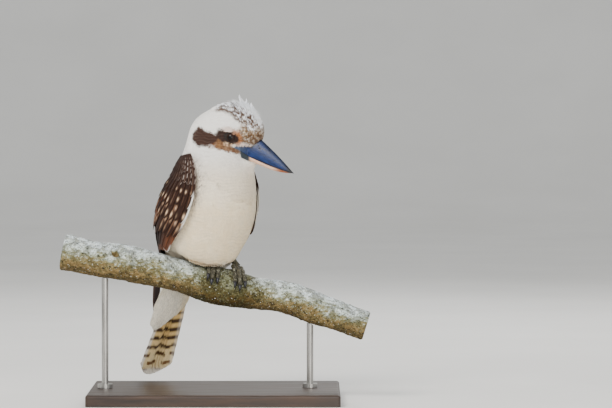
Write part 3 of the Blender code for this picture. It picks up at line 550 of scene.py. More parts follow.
def markings(points, speck):
    """Feather colours of head and body at each place: its vane and its shaft streak.

    speck is a random number from 0 to 1 for each feather.
    """
    head = HEAD.local(points)
    body = BODY.local(points)
    x, y, z = head[:, 0], np.abs(head[:, 1]), head[:, 2]
    height = points[:, 2]
    rough = noise(points, 0.006, 1)
    fine = noise(points, 0.0025, 2)
    coat = Coat(len(points))

    # Belly a warm cream, breast and head whiter, flank under the wing a little grey
    warm = ease(height, 0.262, 0.225) * ease(body[:, 0], 0.000, 0.030)
    coat.vane = blend(coat.vane, WARM, 0.85 * warm * (0.75 + 0.25 * rough))
    coat.vane = blend(coat.vane, WHITE, ease(height, 0.262, 0.300))
    beside = ease(np.abs(body[:, 1]), 0.031, 0.041) * ease(body[:, 0], 0.033, 0.018)
    beside = beside * window(body[:, 2], 0.012, 0.035, 0.076, 0.094)
    grey = beside * np.clip(0.30 + 0.70 * speck + 0.6 * fine, 0, 1)
    coat.vane = blend(coat.vane, GREY, 0.95 * grey)
    coat.shaft = blend(coat.vane, MOTTLE, grey)

    # Back between the wings dark brown, rump and tail root rufous, vent white
    back = ease(body[:, 0], -0.012, -0.026) * ease(body[:, 2], 0.074, 0.060)
    coat.paint(back, CHOCOLATE, BLACKISH)
    rump = back * ease(body[:, 2], -0.010, -0.030)
    coat.vane = blend(coat.vane, RUST, rump * (0.55 + 0.45 * speck))
    coat.paint(ease(height, 0.172, 0.160) * ease(TAIL.local(points)[:, 0], -0.012, 0.000), WHITE, WHITE)

    # Crown: a brown mottled band on each side of its white middle
    cap = ease(z, 0.0205, 0.0240) * window(x, -0.038, -0.026, 0.020, 0.030)
    cap = cap * ease(y, 0.0225, 0.0185) * (0.15 + 0.85 * ease(y, 0.003, 0.008))
    dark = cap * ease(speck + 0.45 * rough, -0.10, 0.08)
    coat.paint(0.97 * dark, linear(96, 72, 58), linear(58, 40, 32), np.minimum(1.5 * dark, 1))

    # Forehead and lores: brown and cream feathers mixed, browner down to the bill
    brow = ease(x, 0.0030, 0.0100) * window(z, 0.0008, 0.0040, 0.0240, 0.0320)
    coat.vane = blend(coat.vane, linear(206, 174, 124), 0.85 * brow * ease(z, 0.0260, 0.0160))
    brown = brow * (0.45 + 0.55 * ease(z, 0.0262, 0.0150))
    dark = brown * ease(speck + 0.30 * fine, 0.82, 0.66)
    brow_colour = blend(linear(112, 76, 42) + 0 * points, linear(120, 98, 84), ease(z, 0.016, 0.024))
    coat.paint(0.92 * dark, brow_colour, linear(80, 52, 30), np.clip(dark + 0.30 * brown, 0, 1))
    pale = ease(x, 0.0085, 0.0125) * window(z, -0.0090, -0.0060, 0.0008, 0.0032)
    coat.paint(pale, linear(240, 224, 212), linear(222, 198, 182))

    # Eye-stripe: dark from the eye back to the broad ear patch, warmer brown along its lower front
    ragged = 0.0013 * rough + 0.0010 * fine
    edge = 0.0010
    back = -x
    on_side = ease(y, 0.014, 0.020)
    reach = ease(back + ragged, -0.0015, 0.0010) * ease(back + 2 * ragged, 0.0465, 0.0415) * on_side
    top, low = along_table(back, STRIPE_TOP), along_table(back, STRIPE_LOW)
    stripe = reach * window(z + ragged, low - edge, low + edge, top - edge, top + edge)
    top, low = along_table(back, PATCH_TOP), along_table(back, PATCH_LOW)
    warm = window(back, -0.0040, 0.0010, 0.0200, 0.0250) * on_side
    warm = warm * window(z + ragged, low - edge, low + edge, top - edge, top + edge)
    warm = warm * np.clip(0.80 + 0.45 * fine + 0.3 * (speck - 0.5), 0, 1)
    brown = blend(linear(132, 88, 52) + 0 * points, linear(88, 54, 36), ease(back, 0.007, 0.017))
    coat.paint(warm, brown, 0.55 * brown)
    coat.paint(stripe, linear(62, 36, 26), linear(38, 22, 17))

    # A mottled brown streak under the eye to the gape
    middle, half = along_table(x, STREAK_MIDDLE), along_table(x, STREAK_HALF)
    streak = ease(np.abs(z - middle + 0.5 * ragged), half + 0.0008, half - 0.0008)
    streak = streak * window(x, -0.012, -0.006, 0.0140, 0.0165) * ease(y, 0.010, 0.016)
    dark = streak * ease(speck + 0.3 * fine, 0.72, 0.55)
    coat.vane = blend(coat.vane, linear(150, 110, 70), 0.92 * streak)
    coat.paint(0.9 * dark, linear(92, 60, 38), linear(110, 72, 42), streak)

    # A warm rim round the eye, strongest over and before it, a pale one under it and a dark ring inside
    ahead, above = x - EYE_PLACE[0], z - EYE_PLACE[2]
    beside_eye = ease(y, 0.012, 0.018)
    round_eye = np.hypot(0.82 * ahead, above)
    rim = ease(round_eye, 0.0122, 0.0100) * beside_eye * ease(above + 0.6 * ahead, -0.0030, 0.0020)
    rim = 0.90 * rim * (0.45 + 0.55 * ease(ahead, -0.0010, 0.0050))
    coat.paint(rim, linear(188, 122, 70), linear(142, 86, 46))
    under = ease(ahead, -0.0025, 0.0010) * ease(round_eye, 0.0104, 0.0090)
    under = under * ease(above, -0.0040, -0.0062) * beside_eye
    coat.paint(under, linear(238, 206, 172), linear(222, 180, 140))
    corner = ease(np.abs(above - 0.0004), 0.0054, 0.0038) * window(-ahead, 0.0040, 0.0058, 0.0120, 0.0150)
    almond = np.hypot(0.86 * ahead, np.where(above > 0, 1.34, 1.16) * above)
    dark = np.maximum(corner * on_side, ease(almond, 0.0098, 0.0084) * beside_eye)
    coat.paint(dark, linear(48, 28, 21), linear(34, 20, 15))
    return coat.vane, coat.shaft


# Eyes, in the head's frame, as in the part
EYE_RADIUS = 0.0066
EYE_PLACE = (-0.0005, 0.0222, 0.0033)
EYE_LOOK = (0.30, 0.95, 0.08)
EYE_OPENING = 0.0058
FACE = HEAD.world((0.016, 0.0, 0.002))
FACE_DEPTH, BODY_DEPTH = 0.0009, 0.0014  # of the skin under the plumage: on the face, and more beyond it
HEAD_FLOOR = 0.279
HEAD_MIDDLE = HEAD.world((-0.014, 0.0, -0.004))
BODY_MIDDLE = BODY.world((0.0, 0.0, -0.010))
SKIN_STEP = 0.0024


def from_eye(points, side):
    """Places in the head's frame as seen from the middle of one eye."""
    return HEAD.local(points) - np.array(EYE_PLACE) * (1, side, 1)


def coat_depth(points):
    """How far the skin lies under the plumage: least on the face."""
    return FACE_DEPTH + BODY_DEPTH * ease(np.linalg.norm(points - FACE, axis=1), 0.016, 0.062)


def skin_field(points):
    return trunk(points) + coat_depth(points)


def unwrap(points):
    """A place from 0 to 1 each way for each root, round the head's or the body's own middle."""
    on_head = points[:, 2] > HEAD_FLOOR
    way = unit(points - np.where(on_head[:, None], HEAD_MIDDLE, BODY_MIDDLE))
    turn = np.arctan2(way[:, 0], -way[:, 1]) / (2 * math.pi) + 0.5
    rise = np.arcsin(np.clip(way[:, 2], -1, 1)) / math.pi + 0.5
    return np.stack([0.01 + 0.98 * turn, np.where(on_head, 0.505, 0.005) + 0.485 * rise], axis=1)


def build_skin():
    step = SKIN_STEP * 1
    points, quads = surface_net(skin_field, BIRD_LOW, BIRD_HIGH, step)
    points = settled(skin_field, points, quads)
    vane, shaft = markings(points, np.full(len(points), 0.5))
    tint = 0.5 * vane + 0.5 * shaft
    for side in (-1, 1):
        off = from_eye(points, side)
        bare = ease(np.hypot(0.85 * off[:, 0], off[:, 2]), 0.0105, 0.0085) * (off[:, 1] * side > -0.010)
        tint = blend(tint, linear(30, 22, 18), bare)
    # The skin's tint is painted 15% darker: painted shade for the skin seen deep between the feathers.
    skin = new_mesh("skin", points, quads, MATERIALS["coat"], {"Tint": 0.85 * tint, "Quill": 60 * points})
    settle_piece(skin, "plumage_cream", "head", "neck", "torso")


# The bill, in the head's frame, by the part's own curves
BILL_START, BILL_TIP, LOWER_TIP = 0.005, 0.0828, 0.0795
GAPE_X = 0.007
CULMEN_X = 0.0276
CULMEN_HEIGHT = 0.0110
CULMEN_FALL = 0.0198
MOUTH_HEIGHT = -0.0108
LOWER_DEPTH = 0.0054
BILL_HALF = 0.0128
LEAST = 0.0004


def bill_share(x):
    return np.clip((np.asarray(x, float) - GAPE_X) / (BILL_TIP - GAPE_X), 0, 1)


def culmen(x):
    """Height of the bill's upper ridge."""
    fore = np.clip((x - CULMEN_X) / (BILL_TIP - CULMEN_X), 0, 1)
    back = np.clip((CULMEN_X - x) / (CULMEN_X - BILL_START), 0, 1)
    return CULMEN_HEIGHT + 0.0010 * back - CULMEN_FALL * fore + 0.0010 * np.sin(math.pi * fore)


def mouth(x):
    """Height of the bill's cutting edges."""
    share = bill_share(x)
    return MOUTH_HEIGHT - 0.0012 * np.sin(math.pi * share) + 0.0015 * share**3


def keel(x):
    """Height of the bill's underside."""
    share = np.clip((np.asarray(x, float) - BILL_START) / (LOWER_TIP - BILL_START), 0, 1)
    return mouth(x) - LOWER_DEPTH * (1 - share**4.5) - LEAST


def bill_half(x):
    return BILL_HALF * (1 - bill_share(x)) ** 0.78 + LEAST


# Edges of the horn on the face, in mm: the feathers' edge over it, its lower edge, the rise of the parting
HORN_TOP = ((7.0, 13.7, 20.8, 22.6, 26.2, 30.0), (-6.0, -2.4, 0.8, -0.8, 7.2, 14.0))
HORN_LOW = ((7.0, 14.8, 16.0, 18.8, 26.5, 30.0), (-6.4, -8.6, -10.6, -15.0, -16.8, -17.1))
MOUTH_RISE = ((7.0, 12.6, 17.5, 24.9, 30.0), (4.5, 3.8, 2.1, -0.3, 0.0))
BILL_BACK = 0.0064
BILL_BARE = 0.0262  # from here to the tip no feathers grow over the bill


def parting(x):
    """Height of the line between the bill's halves, which rises to the corner of the mouth."""
    return mouth(x) + along_table(x, MOUTH_RISE)


def on_horn(head):
    """True for places in the head's frame where horn shows and no feathers grow."""
    x, y, z = head[:, 0], np.abs(head[:, 1]), head[:, 2]
    cheek = (x > BILL_BACK + 0.0006) & (z > along_table(x, HORN_LOW)) & (z < along_table(x, HORN_TOP))
    inside = (x > BILL_BARE) & (y < bill_half(x) + LEAST) & (z > keel(x) - LEAST) & (z < culmen(x) + LEAST)
    return cheek | inside


# Small feathers of head and body: each a fan of thin blades that lies along the coat
MOST_TRIANGLES = 190000
BLADE_TAPER = 0.45
BLADE_WIDTH = 1.65
LIE_SHAKE = 0.10
ROOT_SHAKE = 0.33
MOST_STAND = 0.9
COAT_REGIONS = (
    # spacing, length, half width, blades, stations, and how near to and far from the face it lies
    (0.00125, 0.0042, 0.00105, 3, 2, 0.0, 0.026),
    (0.00150, 0.0066, 0.0016, 5, 2, 0.026, 0.066),
    (0.00242, 0.0125, 0.0030, 5, 3, 0.066, 1.0),
)
COARSER = 1.0
CREST_STEP = 0.0020
LOCKS = (
    # tip to the right and up, length, and how far the lock leans back from its root
    (0.0290, 0.3672, 0.0170, 0.0040),
    (0.0378, 0.3625, 0.0150, 0.0030),
    (0.0335, 0.3610, 0.0120, 0.0030),
    (0.0215, 0.3592, 0.0110, 0.0050),
    (0.0135, 0.3580, 0.0090, 0.0050),
    (0.0030, 0.3545, 0.0085, 0.0060),
    (0.0430, 0.3572, 0.0120, 0.0010),
    (0.0465, 0.3530, 0.0110, -0.0010),
    (0.0505, 0.3475, 0.0090, -0.0030),
    (0.0535, 0.3405, 0.0070, -0.0040),
)
LOCK_COPIES = 4
LOCK_FEATHERS = 9


def fan(blades, stations):
    """The parts of one tuft: across, along and half width of each point, and its triangles."""
    across, along, half, faces = [], [], [], []
    for blade in range(blades):
        place = 2 * blade / (blades - 1) - 1 if blades > 1 else 0.0
        first = len(across)
        for i in range(stations):
            share = i / stations
            wide = 1.0 - BLADE_TAPER * share**2
            across += [place, place]
            along += [share, share]
            half += [-wide, wide]
            if i:
                a, b = first + 2 * i - 2, first + 2 * i
                faces += [(a, b, b + 1), (a, b + 1, a + 1)]
        tip = len(across)
        across.append(place)
        along.append(1.0)
        half.append(0.0)
        faces.append((tip - 2, tip, tip - 1))
    return np.array(across), np.array(along), np.array(half), np.array(faces)


def spread_roots(step, keep, middle, reach):
    """Even places on the skin, a little shaken, where keep is true, with their outward directions."""
    low, high = np.maximum(BIRD_LOW, middle - reach), np.minimum(BIRD_HIGH, middle + reach)
    points, quads = surface_net(skin_field, low, high, step)
    points = settled(skin_field, points, quads, 1)
    points = points[keep(points)]
    points = points + RANDOM.normal(0, ROOT_SHAKE * step, points.shape)
    points = points - skin_field(points)[:, None] * gradient(skin_field, points)
    points = points[keep(points)]
    return points, gradient(skin_field, points)


def lie_of(points, normals):
    """The way the feathers lie: back from the bill on the head, down the body, and on to the tail."""
    from_bill = unit(points - HEAD.world((0.034, 0.0, 0.004)))
    down = unit(-BODY.axes[2] + 0.10 * BODY.axes[0])
    share = ease(points[:, 2], 0.300, 0.262)[:, None]
    way = from_bill * (1 - share) + down * share
    way = way + 0.16 * noise(points, 0.022, 5)[:, None] * np.cross(normals, way)
    return unit(way - normals * (way * normals).sum(1, keepdims=True))


def open_skin(points):
    """Where feathers grow: not on the eyes nor on the bill's horn."""
    grow = np.ones(len(points), bool)
    for side in (-1, 1):
        off = from_eye(points, side)
        ring = np.hypot(off[:, 0] * np.where(off[:, 0] < 0, 1.0, 0.82), off[:, 2] * 1.04)
        grow &= ~((ring < EYE_OPENING) & (off[:, 1] * side > -0.004))
    return grow & ~on_horn(HEAD.local(points))


def tufts(roots, normals, length, width, depth, rise, blades, stations, stand=0.0):
    """Fans of blades from the skin, whose tips reach the plumage's surface and a little past it.

    Returns the points by tuft, one tuft's triangles, and each point's tint, quill and UV place.
    """
    count = len(roots)
    across, along, half, faces = fan(blades, stations)
    lie = unit(lie_of(roots, normals) + LIE_SHAKE * RANDOM.normal(size=(count, 3)))
    side = unit(np.cross(normals, lie))
    length = length * RANDOM.uniform(0.82, 1.18, count)
    width = (width * RANDOM.uniform(0.85, 1.15, count))[:, None]
    shaken = np.repeat(RANDOM.normal(0, 1, (count, blades)), 2 * stations + 1, axis=1)
    longer = np.repeat(RANDOM.uniform(0.86, 1.08, (count, blades)), 2 * stations + 1, axis=1)
    stand = np.broadcast_to(stand, (count,))
    reach = along * (1 - 0.22 * across**2) * longer * np.exp(-0.55 * stand)[:, None] * length[:, None]
    open_out = 0.45 + 0.55 * np.sin(np.minimum(along * 1.2, 1) * math.pi / 2)
    sideways = (across * open_out + 0.10 * shaken * along**2 + half * BLADE_WIDTH / blades) * width
    points = roots[:, None] + lie[:, None] * reach[..., None] + side[:, None] * sideways[..., None]
    lift = rise[:, None] * along - depth[:, None] * (1 - along) ** 3
    lift = lift + width * (0.09 * (1 - across**2) + 0.03 * shaken) * along * (1 - 0.5 * along)
    lift = lift + (np.minimum(stand, MOST_STAND) * length)[:, None] * along**1.1 * longer
    height = trunk(points.reshape(-1, 3)).reshape(count, -1)
    points = points + normals[:, None] * (lift - height)[..., None]
    speck = RANDOM.uniform(0, 1, count)
    vane, shaft = markings(roots + 0.35 * length[:, None] * lie, speck)
    middle = hump(across, 0.0, 0.33)
    tone = RANDOM.uniform(0.93, 1.05, count)[:, None, None]
    # Painted shade: each tuft is darker towards its root, where it lies under the tufts over it.
    painted_root_shade = (0.90 + 0.10 * np.minimum(along * 1.8, 1))[None, :, None]
    tint = blend(vane[:, None], shaft[:, None], middle[None]) * tone * painted_root_shade
    quill = quill_of(count, across * 2 + half * 0.5, along)
    return points, faces, tint, quill, patch_of(roots, 0.5 * across + 0.1 * half, along)


def quill_of(count, right, along):
    """Coordinates for the grain of each tuft, with a random place of its own."""
    seed = RANDOM.uniform(0, 50, count)[:, None]
    return np.stack(np.broadcast_arrays(right + seed, along * 0.6, seed), axis=2)


def patch_of(roots, right, along):
    """Places on the UV map, close round that of each root."""
    return unwrap(roots)[:, None] + 0.003 * np.stack([right, along - 0.5], axis=1)


def coat_pieces(name, *batches):
    """Makes pieces of batches of tufts, each under the limit of triangles."""
    for index, (points, faces, tint, quill, patch) in enumerate(batches):
        most = max(1, MOST_TRIANGLES // len(faces))
        for part, start in enumerate(range(0, len(points), most)):
            some = slice(start, start + most)
            number, per = points[some].shape[:2]
            all_faces = (faces + per * np.arange(number)[:, None, None]).reshape(-1, 3)
            layers = {"Tint": tint[some].reshape(-1, 3), "Quill": quill[some].reshape(-1, 3)}
            solid = points[some].reshape(-1, 3), all_faces
            spots = patch[some].reshape(-1, 2)
            piece = new_mesh(f"{name}_{index}_{part}", *solid, MATERIALS["coat"], layers, spots)
            settle_piece(piece, "plumage_cream")


def build_coat():
    batches = []
    for step, length, width, blades, stations, near, far in COAT_REGIONS:

        def keep(points, near=near, far=far):
            away = np.linalg.norm(points - FACE, axis=1) + 0.007 * noise(points, 0.0035, 7)
            return (away >= near) & (away < far) & open_skin(points)

        roots, normals = spread_roots(step * COARSER, keep, FACE, min(far, 0.5) + 0.012)
        away = np.linalg.norm(roots - FACE, axis=1)
        rise = np.where(away < 0.03, 0.00015, 0.0002) * RANDOM.uniform(0.3, 1.7, len(roots))
        hang = ease(perch_distance(roots), 0.020, 0.009) * ease(normals[:, 2], 0.3, -0.2)
        rise = rise + (0.0020 + 0.0030 * ease(BODY.local(roots)[:, 1], -0.010, 0.010)) * hang
        length = length * (0.80 + 0.20 * ease(away, near, min(far, near + 0.03)))
        deep = coat_depth(roots) + 0.0004
        batches.append(tufts(roots, normals, length, width, deep, rise, blades, stations))
    coat_pieces("coat", *batches)


def build_crest():
    """Raised white and brown pointed feathers of the crown."""

    def keep(points):
        x, y, z = HEAD.local(points).T
        return (z > 0.018) & (x > -0.040) & (x < 0.023) & (np.abs(y) < 0.017)

    roots, normals = spread_roots(CREST_STEP, keep, HEAD.world((-0.008, 0, 0.026)), 0.045)
    x, y, _ = HEAD.local(roots).T
    tall = window(x, -0.040, -0.012, 0.006, 0.026) * ease(np.abs(y), 0.017, 0.004)
    count = len(roots)
    length = 0.0070 + 0.0070 * tall * RANDOM.uniform(0.6, 1.15, count)
    stand = 0.10 + 0.40 * tall * RANDOM.uniform(0.25, 1.0, count)
    blades, stations = 3, 4
    rise = np.full(count, 0.0004)
    batch = tufts(roots, normals, length, 0.0010, coat_depth(roots), rise, blades, stations, stand)
    points, faces, tint, quill, patch = batch
    along = fan(blades, stations)[1]
    pick = (RANDOM.uniform(0, 1, count) < 0.35 + 0.5 * tall)[:, None] * ease(along, 0.25, 0.75)[None]
    tint = blend(tint, linear(240, 243, 248), pick)
    coat_pieces("crest", (points, faces, tint, quill, patch))


def build_spikes():
    """The longest feathers of the crown, white and standing up in pointed locks along its middle."""
    _, along, half, faces = fan(1, 6)
    locks = []
    for right, up, length, back in LOCKS:
        for copy in range(LOCK_COPIES):
            aside = RANDOM.normal(0, 0.0035) if copy else 0.0
            share = RANDOM.uniform(0.60, 0.85) if copy else 1.0
            tip = np.array((right + 0.35 * aside, HEAD.origin[1] + 0.002 + aside, up))
            locks.append((tip, np.array((-back, 0.0, length)), share))
    roots, tips = [], []
    for tip, line, share in locks:
        for _ in range(LOCK_FEATHERS):
            roots.append(tip - line + RANDOM.normal(0, 0.0013, 3))
            tips.append(tip - line + line * share * RANDOM.uniform(0.72, 1.0) + RANDOM.normal(0, 0.0005, 3))
    roots, tips = np.array(roots), np.array(tips)
    for _ in range(10):
        roots = roots - 0.7 * skin_field(roots)[:, None] * gradient(skin_field, roots)
    count = len(roots)
    line = tips - roots
    side = unit(np.cross(line, RANDOM.normal(size=(count, 3))))
    bow = unit(np.cross(line, side)) * RANDOM.normal(0, 0.0007, count)[:, None]
    width = RANDOM.uniform(0.00065, 0.00105, count)
    u = along[None, :, None]
    points = roots[:, None] + line[:, None] * u + bow[:, None] * np.sin(math.pi * u)
    points = points + side[:, None] * (half * width[:, None])[..., None]
    tint = linear(246, 248, 252) * RANDOM.uniform(0.94, 1.04, count)[:, None, None] + 0 * points
    quill = quill_of(count, 0.5 * half, along)
    coat_pieces("spikes", (points, faces, tint, quill, patch_of(roots, 0.1 * half, along)))


# Bill: fine shells over the same curves, with the slits of the nostrils sunk in
BILL_RINGS = 130
BILL_SIDES = 41
BILL_SEAM = 0.00015
LOWER_BACK = BILL_BACK + 0.0084
NOSTRIL_X = 0.0310
NOSTRIL_HEIGHT = 0.0006
NOSTRIL_REACH = 0.0024
NOSTRIL_DEPTH = 0.0005
CHEEK_END = 0.030
FARTHEST_CHEEK = 0.045


def arc(half, height, count, power):
    """Half of a rounded section, from its right edge over the top to its left edge."""
    turns = np.linspace(0, math.pi, count)
    across = half * np.sign(np.cos(turns)) * np.abs(np.cos(turns)) ** (2 / power)
    up = height * np.sin(turns) ** (2 / power)
    return np.stack([across, up], axis=1)


def ring_quads(rings, sides):
    """Quads between neighbouring rings of points."""
    i, j = np.meshgrid(np.arange(rings - 1), np.arange(sides), indexing="ij")
    k = (j + 1) % sides
    corners = [i * sides + j, (i + 1) * sides + j, (i + 1) * sides + k, i * sides + k]
    return np.stack(corners, axis=-1).reshape(-1, 4)


def halved(quads):
    return np.concatenate([quads[:, [0, 1, 2]], quads[:, [0, 2, 3]]])


def lofted(rings):
    """Points and triangles of a closed solid through rings of equal count."""
    rings = np.asarray(rings, float)
    count, sides = rings.shape[:2]
    points = np.concatenate([rings.reshape(-1, 3), [rings[0].mean(0), rings[-1].mean(0)]])
    first, last = count * sides, count * sides + 1
    j = np.arange(sides)
    k = (j + 1) % sides
    top = (count - 1) * sides
    start = np.stack([np.full(sides, first), j, k], axis=1)
    end = np.stack([np.full(sides, last), top + k, top + j], axis=1)
    return points, np.concatenate([halved(ring_quads(count, sides)), start, end])


def bill_shell(places, top, bottom, half, power, low_edge):
    """Rings of one half of the bill in the head's frame, wider at the base above low_edge."""
    base = np.linspace(-1, 1, BILL_SIDES // 2)[1:-1]
    rings = []
    for x in places:
        section = arc(half(x), top(x) - bottom(x), BILL_SIDES, power)
        section = np.concatenate([section, np.stack([base * half(x), 0 * base], axis=1)])
        rings.append(np.column_stack([np.full(len(section), x), section[:, 0], bottom(x) + section[:, 1]]))
    rings = np.array(rings)
    flat = rings.reshape(-1, 3)
    near = (flat[:, 0] < CHEEK_END) & (np.abs(flat[:, 1]) > 1e-6)
    x, y, z = flat[near].T
    low, high = np.zeros(len(x)), np.full(len(x), FARTHEST_CHEEK)
    for _ in range(18):
        middle = (low + high) / 2
        inside = trunk(HEAD.world(np.stack([x, np.sign(y) * middle, z], axis=1))) < -0.0002
        low, high = np.where(inside, middle, low), np.where(inside, high, middle)
    top_edge = along_table(x, HORN_TOP) + 0.0012
    shown = ease(z, top_edge + 0.0030, top_edge) * ease(z, low_edge(x) - 0.0010, low_edge(x) - 0.0002)
    cheek = low * np.minimum(np.abs(y) / half(x) / 0.5, 1.0)
    flat[near, 1] = np.sign(y) * np.maximum(np.abs(y), cheek * shown)
    return flat.reshape(rings.shape)


def horn_piece(half, points, faces, tint, shade):
    """One half of the bill as a piece, with the grain of its horn along it."""
    quill = points * (4.0, 60.0, 60.0)
    name = f"bill_{half}"
    layers = {"Tint": tint, "Quill": quill}
    piece = new_mesh(f"{name}_horn", HEAD.world(points), faces, MATERIALS[shade], layers)
    settle_piece(piece, shade, name)


def build_bill():
    spaced = np.linspace(0, 1, BILL_RINGS) ** 0.85

    def seam_over(x):
        return parting(x) + BILL_SEAM

    def no_edge(x):
        return -1 + 0 * x

    places = BILL_BACK + (BILL_TIP - BILL_BACK) * spaced
    rings = bill_shell(places, culmen, seam_over, bill_half, 1.55, no_edge)
    x, y, z = np.moveaxis(rings, 2, 0)
    line = 0.0030 - 0.45 * (x - 0.0305)
    slit = hump(z, line, NOSTRIL_HEIGHT) * np.exp(-(((x - NOSTRIL_X) / NOSTRIL_REACH) ** 4)) * (y != 0)
    rings[..., 1] -= np.sign(y) * NOSTRIL_DEPTH * slit
    dark = np.append(slit.ravel(), (0, 0))
    points, faces = lofted(rings)
    x, _, z = points.T
    edge = along_table(x, HORN_TOP)
    tint = linear(15, 38, 84) + 0 * points
    tint = blend(tint, linear(14, 22, 38), 0.85 * ease(z, culmen(x) - 0.0034, culmen(x) - 0.0003))
    hem = ease(z, parting(x) + 0.0022, parting(x) + 0.0004)
    tint = blend(tint, linear(30, 26, 28), 0.85 * hem * ease(x, 0.020, 0.034))
    tint = blend(tint, linear(24, 24, 28), ease(x, 0.066, 0.080))
    tint = blend(tint, linear(84, 96, 112), 0.7 * ease(x, 0.022, 0.012))
    # Painted shade: the sunk slits of the nostrils are painted nearly black for the shade inside them.
    tint = blend(tint, linear(6, 7, 9), np.clip(1.6 * dark, 0, 1))
    # Painted shade: a dark band just under the feathers' edge, where they overhang the horn by the nostril.
    painted_edge_shade = ease(z, edge - 0.0026, edge - 0.0008) * window(x, 0.0150, 0.0190, BILL_BARE, 0.0300)
    tint = blend(tint, linear(12, 15, 22), 0.85 * painted_edge_shade)
    horn_piece("upper", points, faces, tint, "horn_dark")

    def seam_under(x):
        return parting(x) - BILL_SEAM

    def lower_half(x):
        return 0.93 * bill_half(x)

    def cheek_edge(x):
        return along_table(x, HORN_LOW) - np.where(x > BILL_BARE, 1.0, 0.0)

    places = LOWER_BACK + (LOWER_TIP - LOWER_BACK) * spaced
    points, faces = lofted(bill_shell(places, keel, seam_under, lower_half, 2.2, cheek_edge))
    x, _, z = points.T
    tint = linear(232, 190, 162) + 0 * points
    tint = blend(tint, linear(150, 84, 50), ease(x, 0.054, 0.068))
    tint = blend(tint, linear(48, 40, 40), ease(x, 0.073, 0.079))
    tint = blend(tint, linear(40, 48, 54), ease(x + 0.5 * (z - parting(x)), 0.0262, 0.0225))
    hem = ease(z, parting(x) - 0.0012, parting(x) - 0.0002)
    tint = blend(tint, linear(92, 62, 50), 0.75 * hem * ease(x, 0.030, 0.050))
    horn_piece("lower", points, faces, tint, "horn_pale")


# Eyes: a dark ball in a ring of dark skin
BALL_ROWS, BALL_COLUMNS = 40, 64
LID_SIDES = 72
LID_ON_BALL = ((0.84, 0.74, 0.0001), (0.89, 0.79, 0.0004), (0.95, 0.86, 0.0004))  # width, height, how proud
LID_BEYOND = ((1.08, 0.96, 0.0036), (1.18, 1.03, 0.0030), (1.24, 1.08, 0.0018), (1.27, 1.10, -0.0006))


def ball(radius):
    turn = np.linspace(0, 2 * math.pi, BALL_COLUMNS, endpoint=False)
    rise = np.linspace(0, math.pi, BALL_ROWS + 1)[1:-1, None]
    rings = np.broadcast_arrays(np.sin(rise) * np.cos(turn), np.sin(rise) * np.sin(turn), np.cos(rise))
    points, faces = lofted(np.stack(rings, axis=-1) * radius)
    points[-2:] = ((0, 0, radius), (0, 0, -radius))
    return points, faces


def build_eyes():
    for side, name in ((1, "right"), (-1, "left")):
        centre = np.array(EYE_PLACE) * (1, side, 1)
        look = unit(np.array(EYE_LOOK) * (1, side, 1))
        level = unit(np.cross(look, (0.0, 0.0, 1.0)))
        rise = np.cross(level, look)
        points, faces = ball(EYE_RADIUS)
        facing = unit(points) @ look
        wide = np.degrees(np.arccos(np.clip(facing, -1, 1)))
        tint = blend(linear(6, 5, 5) + 0 * points, linear(40, 22, 14), ease(wide, 24, 28))
        tint = blend(tint, linear(14, 9, 7), ease(wide, 40, 47))
        points = points + look * 0.0003 * np.clip(facing, 0, 1)[:, None] ** 6
        points = HEAD.world(points + centre)
        eye = new_mesh("eyeball_" + name, points, faces, MATERIALS["eye"], {"Tint": tint})
        settle_piece(eye, "eye", "eye_" + name)
        turns = np.linspace(0, 2 * math.pi, LID_SIDES, endpoint=False)
        cos, sin = np.cos(turns)[:, None], np.sin(turns)[:, None]
        rings = []
        for wide, high, proud in LID_ON_BALL:
            across = EYE_RADIUS * (wide * cos * level + high * sin * rise)
            far = np.linalg.norm(across, axis=1, keepdims=True)
            rings.append(centre + across + look * np.sqrt((EYE_RADIUS + proud) ** 2 - far**2))
        fold = 1 + 0.010 * np.sin(9 * turns)[:, None]
        for wide, high, deep in LID_BEYOND:
            rings.append(centre + look * deep + EYE_RADIUS * fold * (wide * cos * level + high * sin * rise))
        quads = ring_quads(len(rings), LID_SIDES)[:, ::-1]
        lid = new_mesh("lid_" + name, HEAD.world(np.concatenate(rings)), quads, MATERIALS["lid"])
        settle_piece(lid, "plumage_cream", "head")


# Long feathers of wings and tail: closed thin vanes with a shaft, rounded tip and a little camber
SHAFT_HEIGHT, SHAFT_REACH = 0.00022, 0.10


def rounded(u, root, widest, tip):
    """Half width along a feather, as a share: from its root to its round end."""
    rise = root + (1 - root) * np.sin(np.minimum(u / widest, 1) * math.pi / 2)
    end = np.sqrt(np.clip(1 - (np.maximum(u - tip, 0) / (1 - tip)) ** 2, 0, 1))
    return rise * np.maximum(end, 0.02)


def vane_faces(rows, columns):
    """Triangles of one closed vane whose rings run over its outer face and back under it."""
    sides = 2 * columns
    j = np.arange(columns - 1)
    quads = [ring_quads(rows, sides)]
    for start, way in ((0, 1), ((rows - 1) * sides, -1)):
        quad = np.stack([start + j, start + j + 1, start + sides - 2 - j, start + sides - 1 - j], axis=1)
        quads.append(quad[:, ::way])
    return halved(np.concatenate(quads))


def ragged(u, seed, first, second):
    """A feather's uneven edge, as a share of its half width."""
    (rate, turn), (fine_rate, fine_turn) = first, second
    return 1 + 0.05 * np.sin(rate * u + turn * seed) * u + 0.03 * np.sin(fine_rate * u + fine_turn * seed) * u


